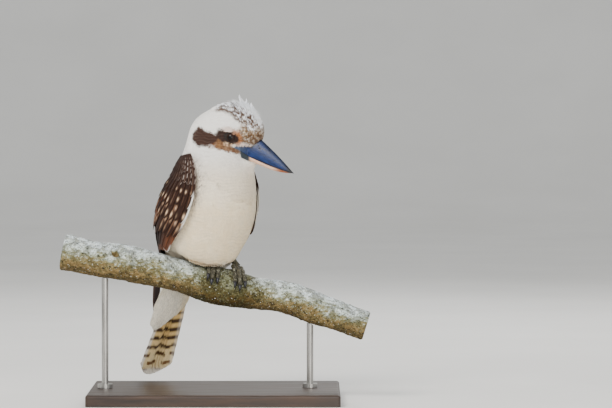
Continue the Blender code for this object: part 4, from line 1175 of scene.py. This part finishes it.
def shape_vanes(centres, sides, normals, halves, columns, thickness, camber, seeds):
    """Points of closed vanes: centres, side directions and normals are (count, rows, 3)."""
    c = np.linspace(-1, 1, columns)
    seed = seeds[:, None]
    u = np.linspace(0, 1, centres.shape[1])[None]
    right = ragged(u, seed, (37, 11), (83, 5))[..., None]
    left = ragged(u, seed, (41, 7), (77, 3))[..., None]
    half = halves[:, :, None]
    drop = -camber * np.abs(c) ** 1.6 * half
    thick = thickness * (1 - 0.8 * np.abs(c)) + SHAFT_HEIGHT * hump(c, 0.0, SHAFT_REACH)
    base = centres[:, :, None] + sides[:, :, None] * (c * half * np.where(c > 0, right, left))[..., None]
    upper = base + normals[:, :, None] * (drop + thick / 2)[..., None]
    lower = base + normals[:, :, None] * (drop - thick / 2)[..., None]
    return np.concatenate([upper, lower[:, :, ::-1]], axis=2)


class Vanes:
    """Long feathers of one size of grid, gathered and then joined as one piece with colours."""

    def __init__(self, rows, columns):
        self.columns = columns
        self.u = 1 - (1 - np.linspace(0, 1, rows)) ** 1.35
        self.c = np.concatenate([np.linspace(-1, 1, columns), np.linspace(1, -1, columns)])
        self.parts = []

    def add(self, centres, sides, normals, halves, tints, thickness, camber):
        seeds = RANDOM.uniform(0, 9, len(centres))
        points = shape_vanes(centres, sides, normals, halves, self.columns, thickness, camber, seeds)
        self.parts.append((points, tints, seeds))

    def piece(self, name, material, slot, node):
        points, tints, seeds = (np.concatenate(group) for group in zip(*self.parts))
        count, rows, sides = points.shape[:3]
        faces = vane_faces(rows, self.columns)
        faces = (faces + rows * sides * np.arange(count)[:, None, None]).reshape(-1, 3)
        u, c = self.u[:, None], self.c
        seed = seeds[:, None, None]
        quill = np.stack(np.broadcast_arrays(u * 6 - 1.3 * np.abs(c) + seed, 0.12 * c, seed), axis=-1)
        across = math.ceil(math.sqrt(count * 2))
        index = np.arange(count)[:, None, None]
        under = np.repeat((0.0, 1.0), self.columns)
        x = (index % across + 0.06 + 0.40 * (0.5 + 0.5 * c) + 0.48 * under) / across
        y = (index // across + 0.06 + 0.88 * u) / across
        patch = np.stack(np.broadcast_arrays(x, y), axis=-1).reshape(-1, 2)
        layers = {"Tint": tints.reshape(-1, 3), "Quill": quill.reshape(-1, 3)}
        settle_piece(new_mesh(name, points.reshape(-1, 3), faces, material, layers, patch), slot, node)


# Wings, on the part's own sheet: s runs from the bend to the tips, t from the leading edge to the back
WING_LEAD = ((0.001, 0.042, 0.074), (0.062, 0.068, 0.033), (-0.034, 0.028, -0.069), (-0.027, 0.023, -0.139))
WING_BACK = ((-0.036, 0.016, 0.060), (-0.064, 0.012, 0.010), (-0.062, 0.006, -0.062), (-0.039, 0.019, -0.133))
WING_CLEAR = 0.0013
WING_FRONT = (0.20, 0.05, 0.0)  # well before the right wing, in the body's frame
PERCH_KEEP = 0.0100
VANE_KEEP = 0.0024
TRUNK_KEEP = 0.0006
WING_FREE = 0.75
FAR_SLIP = 0.006
WING_THICKNESS = 0.00028
WING_CAMBER = 0.10
WING_GRID = ((26, 9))
PRIMARIES = 7
SECONDARIES = 11
WING_ROWS = (
    # kind, count, start and end along the wing, height of roots and tips, half width, lean, and reach
    ("greater", 12, 0.20, 0.47, 0.0030, 0.0070, 0.0058, 0.15, 0.02),
    ("median", 12, 0.13, 0.375, 0.0028, 0.0068, 0.0054, 0.15, 0.03),
    ("lesser", 12, 0.080, 0.290, 0.0026, 0.0064, 0.0050, 0.14, 0.03),
    ("lesser", 12, 0.040, 0.215, 0.0024, 0.0060, 0.0046, 0.14, 0.03),
    ("scapular", 13, 0.000, 0.145, 0.0018, 0.0054, 0.0042, 0.12, 0.02),
    ("scapular", 13, -0.035, 0.080, 0.0010, 0.0046, 0.0038, 0.12, 0.01),
    ("scapular", 13, -0.060, 0.025, 0.0002, 0.0034, 0.0034, 0.10, 0.01),
)


def wing_keep(points):
    return np.minimum(plumage(points), perch_distance(points) - PERCH_KEEP)


def wing_sheet(side, s, t, height):
    """Points and outward directions on a wing, at a height over the plumage it lies on."""
    local = curve_through(WING_LEAD, s) * (1 - t)[:, None] + curve_through(WING_BACK, s) * t[:, None]
    bulge = 4 * t * (1 - t) * np.clip((1 - s) / 0.6, 0, 1)
    local = local + np.stack([-0.006 * bulge, 0.010 * bulge, 0 * bulge], axis=1)
    if side < 0:
        local[:, 0] -= FAR_SLIP * (1 - t) * np.clip((0.45 - s) / 0.30, 0, 1)
    points = BODY.world(local * (1, side, 1))
    hold = np.clip((WING_FREE - s) / 0.25, 0, 1)
    for _ in range(8):
        short = WING_CLEAR - wing_keep(points)
        push = np.where(short > 0, short, short * hold)
        points = points + push[:, None] * gradient(wing_keep, points)
    out = gradient(plumage, points)
    return points + height[:, None] * out, out


def wing_row(kind, count, start, end, low, high, half, lean, reach):
    """One row of feathers, front to back: its kind, then each one's root, tip, half width and lean."""
    row = []
    for share in np.linspace(0, 1, count):
        t = 0.95 * share
        root, tip = (start + reach * share, t + 0.02, low), (end + reach * share, t - 0.01, high)
        row.append((root, tip, half, lean))
    return kind, row


def wing_tiers():
    """Every feather of a wing by its kind, from the innermost out."""
    primaries, secondaries = [], []
    for share in np.linspace(0, 1, PRIMARIES):
        root = (0.46, 0.34 + 0.30 * share, 0.0016)
        tip = (1.0 - 0.15 * share**1.2, 0.36 + 0.27 * share, 0.0004 * share * (PRIMARIES - 1))
        primaries.append((root, tip, 0.0062, -0.45))
    for share in np.linspace(0, 1, SECONDARIES):
        root = (0.27, 0.02 + 0.86 * share, 0.0026)
        tip = (0.57 + 0.19 * min(2.5 * share, 1.0) - 0.05 * share**3, 0.03 + 0.81 * share, 0.0056)
        secondaries.append((root, tip, 0.0064, 0.20))
    return [("primary", primaries), ("secondary", secondaries)] + [wing_row(*row) for row in WING_ROWS]


def wing_tint(kind, u, c, s, t, speck):
    """Colour over one wing feather, by its kind and where it lies on the wing; c is +1 at its front edge."""
    shape = np.broadcast(u, c, s, t, speck).shape
    even = np.ones(shape)
    tint = blend(linear(44, 26, 19), linear(74, 46, 33), 0.55 * ease(np.abs(c), 0.72, 1.0) * even)
    chance = 0.5 + 0.5 * np.sin(37 * speck)
    other = 0.5 + 0.5 * np.sin(91 * speck + 1)
    shift = 0.10 * (other - 0.5)
    drop = hump(u + shift, 0.86, 0.055) * hump(c, 4 * shift, 0.30)
    drop = drop * (1 - 0.75 * ease(s, 0.36, 0.43) * ease(t, 0.55, 0.40))
    shaft = hump(c, shift, 0.08) * ease(u, 0.40, 0.75)
    inner = ease(t, 0.66, 0.80)
    if kind == "primary":
        tint = blend(tint, linear(36, 26, 24), 0.8 * even)
        tint = blend(tint, linear(84, 54, 38), 0.5 * ease(-c, 0.2, 0.9) * even)
    elif kind == "secondary":
        tint = blend(tint, linear(50, 37, 34), 0.65 * even)
        edge = 0.45 + 0.35 * ease(np.abs(c), 0.2, 0.8)
        tint = blend(tint, linear(104, 60, 36), ease(t, 0.26, 0.08) * edge)
        grey = hump(c, -0.2, 0.22) * window(t, 0.30, 0.40, 0.52, 0.62)
        tint = blend(tint, linear(112, 106, 106), 0.55 * grey)
        tint = blend(tint, linear(104, 58, 36), 0.75 * ease(t, 0.42, 0.54) * (1 - 0.8 * ease(t, 0.62, 0.76)))
        band = ease(np.sin(24 * u + 4 * speck), 0.1, 0.5) * ease(t, 0.44, 0.54) * ease(-c, -0.1, 0.4)
        tint = blend(tint, linear(206, 212, 224), 0.8 * band * (1 - 0.6 * inner))
        tick = ease(c, 0.70, 0.90) * ease(t, 0.08, 0.03) * ease(u, 0.74, 0.82)
        tint = blend(tint, linear(240, 236, 230), tick)
    elif kind in ("greater", "median"):
        rust = ease(t, 0.38, 0.50) * (1 - 0.7 * inner) * ease(np.sin(11 * u + 6 * speck), -0.6, 0.2)
        tint = blend(tint, linear(116, 60, 34), 0.75 * rust)
        tint = blend(tint, linear(150, 106, 76), 0.55 * shaft * ease(chance, 0.2, 0.6))
        tint = blend(tint, linear(226, 190, 154), np.clip(1.25 * drop, 0, 1) * ease(other, 0.05, 0.30))
        side_drop = hump(u, 0.66, 0.05) * hump(c, 0.55, 0.26)
        tint = blend(tint, linear(196, 160, 130), side_drop * ease(chance, 0.3, 0.6))
        pale = ease(t, 0.44, 0.54) * ease(-c, -0.1, 0.35) * ease(u, 0.45, 0.65)
        pale = pale * ease(np.sin(21 * u + 7 * speck), -0.2, 0.3) * (1 - 0.5 * inner)
        tint = blend(tint, linear(204, 216, 230), 0.85 * pale * ease(chance, 0.35, 0.6))
    elif kind == "lesser":
        tint = blend(tint, linear(146, 106, 80), 0.45 * shaft * ease(chance, 0.3, 0.7))
        tint = blend(tint, linear(212, 178, 146), np.clip(1.2 * drop, 0, 1) * ease(other, 0.15, 0.45))
    else:
        net = ease(np.abs(c), 0.55, 0.90) * ease(u, 0.30, 0.55) * ease(t, 0.42, 0.20)
        net = net * ease(np.sin(19 * u + 9 * speck), -0.7, 0.1)
        tint = blend(tint, linear(196, 182, 172), 0.70 * net * (0.5 + 0.5 * chance))
        tint = blend(tint, linear(150, 122, 104), 0.45 * shaft * ease(t, 0.60, 0.40))
    front = ease(t, 0.045, 0.012) * ease(c, 0.52, 0.70) * window(s, 0.17, 0.22, 0.34, 0.44)
    return blend(tint, linear(244, 240, 232), front * (kind != "scapular"))


def vane_room(points):
    """How far places are clear of the body and the perch: negative inside."""
    return np.minimum(trunk(points) - TRUNK_KEEP, perch_distance(points) - VANE_KEEP)


def build_wing(name, side):
    vanes = Vanes(*WING_GRID)
    u = vanes.u
    front_place = BODY.world(np.array(WING_FRONT) * (1, side, 1))
    for kind, feathers in wing_tiers():
        roots, tips, half, lean = (np.array(group, float) for group in zip(*feathers))
        count, rows = len(roots), len(u)
        tips[:, 0] += RANDOM.normal(0, 0.008, count)
        places = roots[:, None] + (tips - roots)[:, None] * u[None, :, None]
        centres, out = (a.reshape(count, rows, 3) for a in wing_sheet(side, *places.reshape(-1, 3).T))
        along = unit(np.gradient(centres, axis=1))
        across = unit(np.cross(out, along))
        turn = side * lean[:, None, None]
        sides = np.cos(turn) * across + np.sin(turn) * np.cross(along, across)
        normals = np.cross(along, sides)
        halves = half[:, None] * rounded(u, 0.60, 0.40, 0.60 if kind == "primary" else 0.70)
        for _ in range(3):
            edges = np.stack([centres - sides * halves[..., None], centres + sides * halves[..., None]])
            room = vane_room(edges.reshape(-1, 3)).reshape(2, count, rows).min(0)
            push = np.maximum(-room, 0)
            push = np.maximum(push, 0.7 * np.maximum(np.roll(push, 1, 1), np.roll(push, -1, 1)))
            centres = centres + push[..., None] * out
        # across points to the leading edge on one wing and to the back on the other
        middle = rows // 2
        lead = np.sign((across[:, middle] * (front_place - centres[:, middle])).sum(1))
        c = vanes.c * lead[:, None, None]
        speck = RANDOM.uniform(0, 1, count)[:, None, None]
        tint = wing_tint(kind, u[None, :, None], c, places[:, :, 0:1], places[:, :, 1:2], speck)
        tint = tint * RANDOM.uniform(0.86, 1.12, count)[:, None, None, None]
        vanes.add(centres, sides, normals, halves, tint, WING_THICKNESS, WING_CAMBER)
    vanes.piece(name + "_feathers", MATERIALS["wing"], "plumage_brown", name)


# Tail: twelve barred feathers, with soft white coverts under it and rusty barred ones over it
TAIL_GRID = ((44, 13))
COVERT_GRID = ((12, 7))
TAIL_PAIRS = 6
TAIL_PITCH = 0.0015
TAIL_DEEPEST = -0.0045
TAIL_HALF = 0.0078
BAR_PITCH = 0.0118
RUMP_BAR_PITCH = 0.0085
UNDER_COUNT, OVER_COUNT = 330, 60
GOLDEN_TURN = 0.6180339
SKIRT_ENDS = ((-1, -0.4, 0.3, 0.75, 1), (0.046, 0.056, 0.074, 0.083, 0.079))  # how far down by place across
SKIRT_FLARE = ((0.0, 0.025, 0.045, 0.065, 0.085), (0.004, 0.0095, 0.0120, 0.0120, 0.0060))


def tail_tint(local, c, outer, speck):
    """Golden buff with dark bars across, paler at the outer edges and white at the tip."""
    down, right = -local[..., 2], local[..., 1]
    wave = 0.0005 * np.sin(right * 420) + 0.0008 * np.abs(c) + 0.0004 * np.sin(6.3 * speck)
    phase = (wave - down) / BAR_PITCH
    off = np.abs(phase - np.round(phase)) * BAR_PITCH
    bar = ease(off, 0.0030, 0.0019)
    broken = np.sin(right * 300 + 2 * speck + np.round(phase) * 2.4)
    worn = ease(down, 0.095, 0.135)
    bar = bar * ease(broken, -1.6 + 1.3 * worn, -1.1 + 1.1 * worn)
    base = blend(linear(222, 186, 120), linear(230, 208, 160), ease(down, 0.08, 0.13))
    dark = blend(linear(64, 44, 24), linear(120, 84, 44), ease(down, 0.105, 0.140))
    rim = ease(c * outer, 0.25, 0.60) * np.where(outer > 0, 1.0, 0.45)
    white = np.maximum(ease(down, TAIL_LENGTH - 0.015, TAIL_LENGTH - 0.006), rim)
    return blend(blend(base, dark, bar), linear(244, 238, 228), 0.9 * white * (1 - 0.9 * bar * rim))


def tail_rows(vanes, roots, tips, half, lean, bow, blunt):
    """Places in the tail's frame of tail feathers, and their centres, sides, normals and half widths."""
    u = vanes.u
    local = roots[:, None] + (tips - roots)[:, None] * u[None, :, None]
    local[..., 0] += bow * np.sin(math.pi * u)
    centres = TAIL.world(local)
    along = unit(np.gradient(centres, axis=1))
    across = TAIL.axes[1] * np.cos(lean)[:, None] + TAIL.axes[0] * np.sin(lean)[:, None]
    across = np.broadcast_to(across[:, None], centres.shape)
    sides = unit(across - along * (along * across).sum(-1, keepdims=True))
    return local, centres, sides, np.cross(along, sides), half[:, None] * blunt[None]


def build_tail():
    vanes = Vanes(*TAIL_GRID)
    feathers = []
    for i in range(TAIL_PAIRS):
        for side in (-1, 1):
            level = TAIL_DEEPEST + TAIL_PITCH * (i + (0.5 if side < 0 else 0.0))
            root = (level, side * (0.0015 + 0.0012 * i), -0.022)
            tip = (level, side * (i + 0.5) * 0.0031, -TAIL_LENGTH + 0.0018 * i**1.3)
            feathers.append((root, tip, side * 0.02, side * (i == TAIL_PAIRS - 1)))
    roots, tips, lean, outer = (np.array(group, float) for group in zip(*feathers))
    count = len(roots)
    blunt = rounded(vanes.u, 0.62, 0.45, 0.93)
    half = np.full(count, TAIL_HALF)
    local, centres, sides, normals, halves = tail_rows(vanes, roots, tips, half, lean, 0.0, blunt)
    speck = RANDOM.uniform(0, 1, count)[:, None, None]
    places = local[:, :, None] + (vanes.c * halves[:, :, None])[..., None] * (0, 1, 0)
    tint = tail_tint(places, vanes.c, outer[:, None, None], speck)
    vanes.add(centres, sides, normals, halves, tint, 0.0003, 0.02)
    vanes.piece("tail_feathers", MATERIALS["tail"], "plumage_barred", "tail")


def skirt_flare(up, right):
    """How much wider than its root the skirt of under-tail coverts is, towards the right."""
    return np.interp(-up, *SKIRT_FLARE) * ease(right, -0.4, 1.0)


def under_coverts(right, place, depth):
    """Roots, tips and half widths of the soft white feathers under the tail."""
    count = len(place)
    length = 0.030 * RANDOM.uniform(0.85, 1.1, count)
    end = np.interp(right, *SKIRT_ENDS) + 0.0012 * RANDOM.normal(size=count)
    root_up = -0.004 - (end - 0.026) * depth
    tip_up = np.maximum(root_up - length, -end)
    level = np.interp(-root_up, (0.0, 0.03, 0.07), (0.0128, 0.0115, 0.0078))
    wide = np.interp(-root_up, (0.0, 0.05, 0.09), (0.0150, 0.0158, 0.0150)) * right
    swell = level * np.sqrt(np.clip(1 - 0.75 * right**2, 0, 1))
    swell = swell * np.where(place % 3 == 0, RANDOM.uniform(0.15, 0.75, count), 1.0)
    slim = (0.55 + 0.30 * (1 - depth)) * (0.72 + 0.28 * ease(-tip_up, 0.09, 0.05))
    roots = np.stack([swell - 0.0025, 0.9 * wide + 0.8 * skirt_flare(root_up, right), root_up], axis=1)
    tips = np.stack([swell * slim, 1.06 * wide + skirt_flare(tip_up, right), tip_up], axis=1)
    return roots, tips, 0.0036 * RANDOM.uniform(0.8, 1.2, count)


def over_coverts(right, depth):
    """Roots, tips and half widths of the rusty barred feathers over the tail."""
    count = len(right)
    length = 0.022 * RANDOM.uniform(0.85, 1.1, count)
    end = 0.056
    root_up = -0.004 - (end - 0.026) * depth
    tip_up = np.maximum(root_up - length, -end)
    wide = np.interp(-root_up, (0.0, 0.05, 0.09), (0.0135, 0.0120, 0.0075)) * right
    swell = 0.0085 * np.sqrt(np.clip(1 - 0.75 * right**2, 0, 1))
    slim = 0.55 + 0.30 * (1 - depth)
    roots = np.stack([0.0025 - swell, 0.9 * wide, root_up], axis=1)
    tips = np.stack([-swell * slim, 1.06 * wide, tip_up], axis=1)
    return roots, tips, 0.0046 * RANDOM.uniform(0.8, 1.2, count)


def tail_coverts():
    """Soft loose feathers round the root of the tail, white below and rusty above."""
    vanes = Vanes(*COVERT_GRID)
    blunt = rounded(vanes.u, 0.60, 0.45, 0.60)
    for way, count in ((1, UNDER_COUNT), (-1, OVER_COUNT)):
        place = np.arange(count)
        right = 2 * ((place * GOLDEN_TURN) % 1.0 - 0.5)
        depth = (place + 0.5) / count
        roots, tips, half = under_coverts(right, place, depth) if way > 0 else over_coverts(right, depth)
        lean = -0.5 * right * way
        rows = tail_rows(vanes, roots, tips, half, lean, 0.0016 * way, blunt)
        local, centres, sides, normals, halves = rows
        RANDOM.uniform(0, 1, count)  # not used, but it keeps the later draws as they are
        even = np.ones((count, len(vanes.u), len(vanes.c)))
        if way > 0:
            warm = ease(-right, -0.3, 0.8)[:, None, None] * even
            tint = blend(linear(254, 247, 230), linear(244, 220, 172), 0.75 * warm)
        else:
            phase = local[..., 2:] / RUMP_BAR_PITCH * even
            off = np.abs(phase - np.round(phase)) * RUMP_BAR_PITCH
            tint = blend(RUST, BLACKISH, ease(off, 0.0022, 0.0012))
        tint = tint * RANDOM.uniform(0.93, 1.04, count)[:, None, None, None]
        vanes.add(centres, sides, normals, halves, tint, 0.00025, 0.18)
    vanes.piece("tail_coverts", MATERIALS["wing"], "plumage_barred", "tail")


# Feet, by the part's own paths
FEET = (("right", -0.008, -1), ("left", 0.021, 1))  # name, place along the perch and the way its toes turn
TOES = (
    # inner, middle, outer and hind toe: start and end across, reach round the perch, and thickness
    (0.0046, 0.0080, 1.06, 0.0031),
    (0.0, 0.0025, 1.28, 0.0034),
    (-0.0046, -0.0040, 1.16, 0.0031),
    (0.0, 0.0010, -1.02, 0.0034),
)
TOE_STATIONS, TOE_SIDES = 136, 18
CLAW_STATIONS, CLAW_SIDES = 26, 14
SHANK_STATIONS, SHANK_SIDES = 24, 20
SHANK_RADII = ((0, 0.25, 0.5, 0.75, 1), (0.0042, 0.0036, 0.0036, 0.0042, 0.0050))


def swept(path, radii, sides):
    """Rings of a round rod along a path."""
    along = unit(np.gradient(path, axis=0))
    guide = np.array((0.0, 0.0, 1.0)) if abs(along[:, 2]).mean() < 0.8 else np.array((0.0, 1.0, 0.0))
    side = unit(np.cross(along, guide))
    rise = np.cross(side, along)
    turns = np.arange(sides) * 2 * math.pi / sides
    ring = np.cos(turns)[None, :, None] * side[:, None] + np.sin(turns)[None, :, None] * rise[:, None]
    return path[:, None] + radii[:, None, None] * ring


def joined_mesh(name, solids, material):
    """One object of several closed solids, each given by its rings."""
    points, faces, first = [], [], 0
    for rings in solids:
        found, triangles = lofted(rings)
        points.append(found)
        faces.append(triangles + first)
        first += len(found)
    return new_mesh(name, np.concatenate(points), np.concatenate(faces), material)


def build_leg(name, x, inward):
    side = 1 if name == "right" else -1
    ankle = on_perch(x, -0.02, 0.0052)
    hip = ankle + 0.40 * (BODY.world((0.0, side * 0.012, -0.012)) - ankle)
    shares = np.linspace(0, 1, SHANK_STATIONS)
    radii = 0.97 * np.interp(shares, *SHANK_RADII)
    skin = [swept(ankle + (hip - ankle) * shares[:, None], radii, SHANK_SIDES)]
    claws = []
    shares = np.linspace(0, 1, TOE_STATIONS)
    pads = 1 + 0.10 * np.cos(shares * 6 * math.pi)
    scutes = 1 + 0.055 * np.abs(np.sin(shares * 15 * math.pi)) ** 0.6
    blunt = np.sqrt(np.clip(1 - (np.maximum(shares - 0.94, 0) / 0.062) ** 2, 0.05, 1))
    claw = np.linspace(0, 1, CLAW_STATIONS)
    claw_radii = 0.0021 * (1 - claw) ** 0.8 + 0.0002
    lift = 0.0026 + 0.0022 * np.sin(math.pi * np.minimum(claw * 1.1, 1)) - 0.0014 * claw
    for start, end, reach, thick in TOES:
        heading = math.copysign(1, reach)
        turns = heading * 0.05 + (reach - heading * 0.05) * shares
        places = x + inward * (start + (end - start) * shares) + 0.0045 * shares * heading
        radii = thick * (1 - 0.22 * shares) * pads
        path = on_perch(places, turns, radii * 1.03 + 0.0006)
        skin.append(swept(path, radii * 0.93 * scutes * blunt, TOE_SIDES))
        path = on_perch(places[-1] + 0.0008 * heading * claw, reach + heading * (0.02 + 0.30 * claw), lift)
        claws.append(swept(path, claw_radii, CLAW_SIDES))
    for kind, solids in (("skin", skin), ("claw", claws)):
        piece = joined_mesh(f"foot_{kind}_{name}", solids, MATERIALS[kind])
        settle_piece(piece, "leg", "leg_" + name)


# Perch: bark over the part's shape, sunk a little so that its bumps stay inside it
BARK_STEPS, BARK_SIDES = ((620, 200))
BARK_SINK = 0.00065
END_ROUND, END_DROP = 0.0022, 0.0012
# Middle, along the perch, of the painted shadow of the bird
BIRD_SHADOW_X = 0.012
STUB_FOOT, STUB_TOP = (-0.118, -0.008), (-0.122, 0.0085)  # place along the perch and height over its bark
STUB_TURN = math.radians(60)
STUB_RADII = ((0, 0.5, 1), (0.0050, 0.0043, 0.0034))


def build_perch():
    x = np.linspace(-PERCH_HALF, PERCH_HALF, BARK_STEPS)
    turns = np.linspace(0, 2 * math.pi, BARK_SIDES, endpoint=False)
    x, turn = np.meshgrid(x, turns, indexing="ij")
    around = np.stack([x, 0.02 * np.sin(turn), 0.02 * np.cos(turn)], axis=-1).reshape(-1, 3)
    rough = 0.00045 * noise(around, 0.0050, 3) + 0.00030 * noise(around, 0.0022, 4)
    crust = 0.00035 * np.abs(noise(around * (0.55, 1, 1), 0.0032, 6))
    height = (rough + crust - BARK_SINK).reshape(x.shape)
    height = height - END_DROP * ease(np.abs(x), PERCH_HALF - END_ROUND, PERCH_HALF)
    points, faces = lofted(on_perch(x, turn, height)[:, ::-1])
    # Painted shadow of the bird: a band of bark round where it sits, made darker and more olive in the
    # material.
    bird_shadow = ease(np.abs(points[:, 0] - BIRD_SHADOW_X + 0.010 * noise(points, 0.012, 8)), 0.050, 0.022)
    middle = np.median(points[:, 2])
    bird_shadow = bird_shadow * ease(points[:, 2], middle - 0.06, middle - 0.04)
    perch = new_mesh("bark", points, faces, MATERIALS["bark"], {"Tint": bird_shadow[:, None] * np.ones(3)})
    settle_piece(perch, "bark", "perch")
    shares = np.linspace(0, 1, 12)
    foot, top = (on_perch(place, STUB_TURN, rise) for place, rise in (STUB_FOOT, STUB_TOP))
    rings = swept(foot + (top - foot) * shares[:, None], np.interp(shares, *STUB_RADII), 24)
    settle_piece(joined_mesh("stub", [rings], MATERIALS["bark"]), "bark", "perch")


# Materials, by the keys the pieces ask for
BARK_BY_HEIGHT = (
    (0.06, linear(104, 86, 54)),
    (0.28, linear(142, 120, 78)),
    (0.46, linear(130, 122, 86)),
    (0.58, linear(142, 144, 118)),
    (0.74, linear(186, 196, 186)),
    (0.92, linear(204, 214, 216)),
)
MOSS = ((0.36, linear(30, 29, 20)), (0.54, linear(78, 72, 42)), (0.70, linear(122, 120, 90)))
SCALES = ((0.34, linear(46, 43, 32)), (0.52, linear(84, 80, 62)), (0.68, linear(138, 136, 118)))


def bark_material():
    """Pale lichen on top, speckled grey and olive on the flanks, tan below, and a painted shadow of the bird:
    darker and more olive under it.
    """
    made = Nodes("lichened bark", 0.92)
    place = made.place()
    normal = made.add("ShaderNodeNewGeometry", {}).outputs["Normal"]
    height = made.add("ShaderNodeSeparateXYZ", {"Vector": normal}).outputs["Z"]
    ragged_edge = made.math("MULTIPLY", made.math("SUBTRACT", made.noise(place, 70.0, 5.0, 0.7), 0.5), 1.5)
    level = made.math("MULTIPLY", made.math("ADD", made.math("ADD", height, ragged_edge), 1.0), 0.5)
    grain = made.grey(made.noise(place, 520.0, 5.0, 0.7), 0.55, 1.25, 0.34, 0.64)
    colour = made.mix(1.0, made.ramp(level, *BARK_BY_HEIGHT), grain, "MULTIPLY")
    crust = made.grey(made.noise(place, 210.0, 5.0, 0.65), 0.0, 1.0, 0.54, 0.60)
    crust = made.math("MULTIPLY", crust, made.grey(level, 0.0, 0.75, 0.36, 0.62))
    colour = made.mix(crust, colour, linear(214, 220, 214))
    bird_shadow = made.attribute("Tint")
    olive = made.grey(made.noise(place, 95.0, 6.0, 0.78), 0.0, 1.0, 0.47, 0.53)
    # Painted shadow of the bird: more dark olive and a darker tint under it.
    olive = made.math("MULTIPLY", olive, made.mix(bird_shadow, (0.62, 0.62, 0.62), (0.95, 0.95, 0.95)))
    colour = made.mix(1.0, colour, made.mix(bird_shadow, (1.0, 1.0, 1.0), linear(158, 154, 130)), "MULTIPLY")
    colour = made.mix(olive, colour, made.ramp(made.noise(place, 420.0, 4.0, 0.65), *MOSS))
    specks = made.grey(made.noise(place, 240.0, 6.0, 0.75), 1.0, 0.0, 0.40, 0.44)
    colour = made.mix(made.math("MULTIPLY", specks, 0.85), colour, linear(36, 33, 26))
    dots = made.grey(made.noise(place, 560.0, 2.0, 0.5), 0.0, 1.0, 0.68, 0.71)
    made.colour(made.mix(made.math("MULTIPLY", dots, 0.75), colour, linear(222, 226, 220)))
    made.bump(made.noise(place, 330.0, 5.0, 0.72), 0.0007, 0.9)
    return made.set(Specular_IOR_Level=0.15)


def horn_material(name, roughness, streak, coat):
    """Horn: its tint, with fine streaks along the bill and pale streaks that are partly scratches and partly
    painted highlight.
    """
    made = Nodes(name, roughness)
    grain = made.attribute("Quill", "Vector")
    streaks = made.noise(grain, 9.0, 5.0, 0.72)
    shade = made.grey(streaks, 1 - streak, 1 + 0.6 * streak, 0.35, 0.65)
    colour = made.mix(1.0, made.attribute("Tint"), shade, "MULTIPLY")
    # Pale streaks along the horn: partly real scratches and wear, partly painted highlight streaks.
    scratches_and_sheen = made.grey(made.noise(grain, 42.0, 2.0), 0.0, 1.0, 0.66, 0.74)
    pale = made.mix(1.0, colour, (3.2, 2.8, 2.3), "MULTIPLY")
    made.colour(made.mix(made.math("MULTIPLY", scratches_and_sheen, 0.7), colour, pale))
    made.rough(made.grey(streaks, roughness - 0.08, roughness + 0.12))
    made.bump(streaks, 0.0004, 0.6)
    return made.set(Coat_Weight=coat, Coat_Roughness=0.16, Specular_IOR_Level=0.24)


def eye_material():
    """A dark wet ball: its tint, broken a little, under a clear coat."""
    made = Nodes("dark eye", 0.30)
    place = made.place()
    grain = made.grey(made.noise(place, 900.0), 0.86, 1.08)
    made.colour(made.mix(1.0, made.attribute("Tint"), grain, "MULTIPLY"))
    made.bump(made.noise(place, 900.0), 0.00001, 0.3)
    return made.set(Coat_Weight=0.22, Coat_Roughness=0.02, Specular_IOR_Level=0.1)


def scaly_material():
    """Skin of legs and toes: small olive-grey scales with dark creases."""
    made = Nodes("scaly skin", 0.6)
    place = made.place()
    cells = made.add("ShaderNodeTexVoronoi", {"Vector": place, "Scale": 620.0}, feature="DISTANCE_TO_EDGE")
    crease = made.grey(cells.outputs["Distance"], 0.0, 1.0, 0.02, 0.16)
    colour = made.ramp(made.noise(place, 260.0, 4.0, 0.65), *SCALES)
    made.colour(made.mix(crease, linear(32, 29, 22), colour))
    made.bump(crease, 0.0003, 0.8)
    return made.set(Specular_IOR_Level=0.3)


def plain_material(name, roughness, scale, dark, light, depth, metallic=0.0, stretch=(1, 1, 1), specular=0.5):
    """One colour broken into dark and light by soft noise, which also varies its roughness."""
    made = Nodes(name, roughness, metallic)
    found = made.noise(made.place(stretch), scale, 4.0)
    made.colour(made.ramp(found, (0.32, linear(*dark)), (0.68, linear(*light))))
    made.rough(made.grey(found, roughness - 0.06, roughness + 0.06))
    made.bump(found, depth, 0.5)
    return made.set(Specular_IOR_Level=specular)


WOOD_SHADES = (34, 22, 15), (62, 42, 28)
STEEL_SHADES = (150, 148, 144), (182, 180, 176)
MATERIALS = {
    "coat": feather_material("cream plumage", 0.80, 0.10, 0.16),
    "wing": feather_material("brown plumage", 0.66, 0.26, sheen=0.02),
    "tail": feather_material("barred plumage", 0.70, 0.16, sheen=0.04),
    "horn_dark": horn_material("dark horn", 0.34, 0.70, 0.07),
    "horn_pale": horn_material("pale horn", 0.40, 0.10, 0.2),
    "eye": eye_material(),
    "lid": plain_material("lid skin", 0.7, 900.0, (20, 14, 12), (46, 32, 26), 0.0002, specular=0.2),
    "skin": scaly_material(),
    "claw": plain_material("claw horn", 0.34, 400.0, (16, 17, 22), (38, 38, 46), 0.0001),
    "bark": bark_material(),
    "board": plain_material("dark wood", 0.38, 24.0, *WOOD_SHADES, 0.0002, stretch=(0.6, 7.0, 7.0)),
    "rod": plain_material("brushed steel", 0.34, 60.0, *STEEL_SHADES, 0.00005, 1.0, (6, 6, 0.5)),
}


def dress_stand():
    """The board and rods keep the part's own meshes, in wood and brushed steel."""
    for name, key in (("stand_base", "board"), ("stand_rod_left", "rod"), ("stand_rod_right", "rod")):
        node = bpy.data.objects[name]
        node.data.materials.clear()
        node.data.materials.append(MATERIALS[key])


build_camera()
build_stage()
build_skin()
build_coat()
build_crest()
build_spikes()
build_bill()
build_eyes()
build_wing("wing_right", 1)
build_wing("wing_left", -1)
build_tail()
tail_coverts()
for foot in FEET:
    build_leg(*foot)
build_perch()
dress_stand()
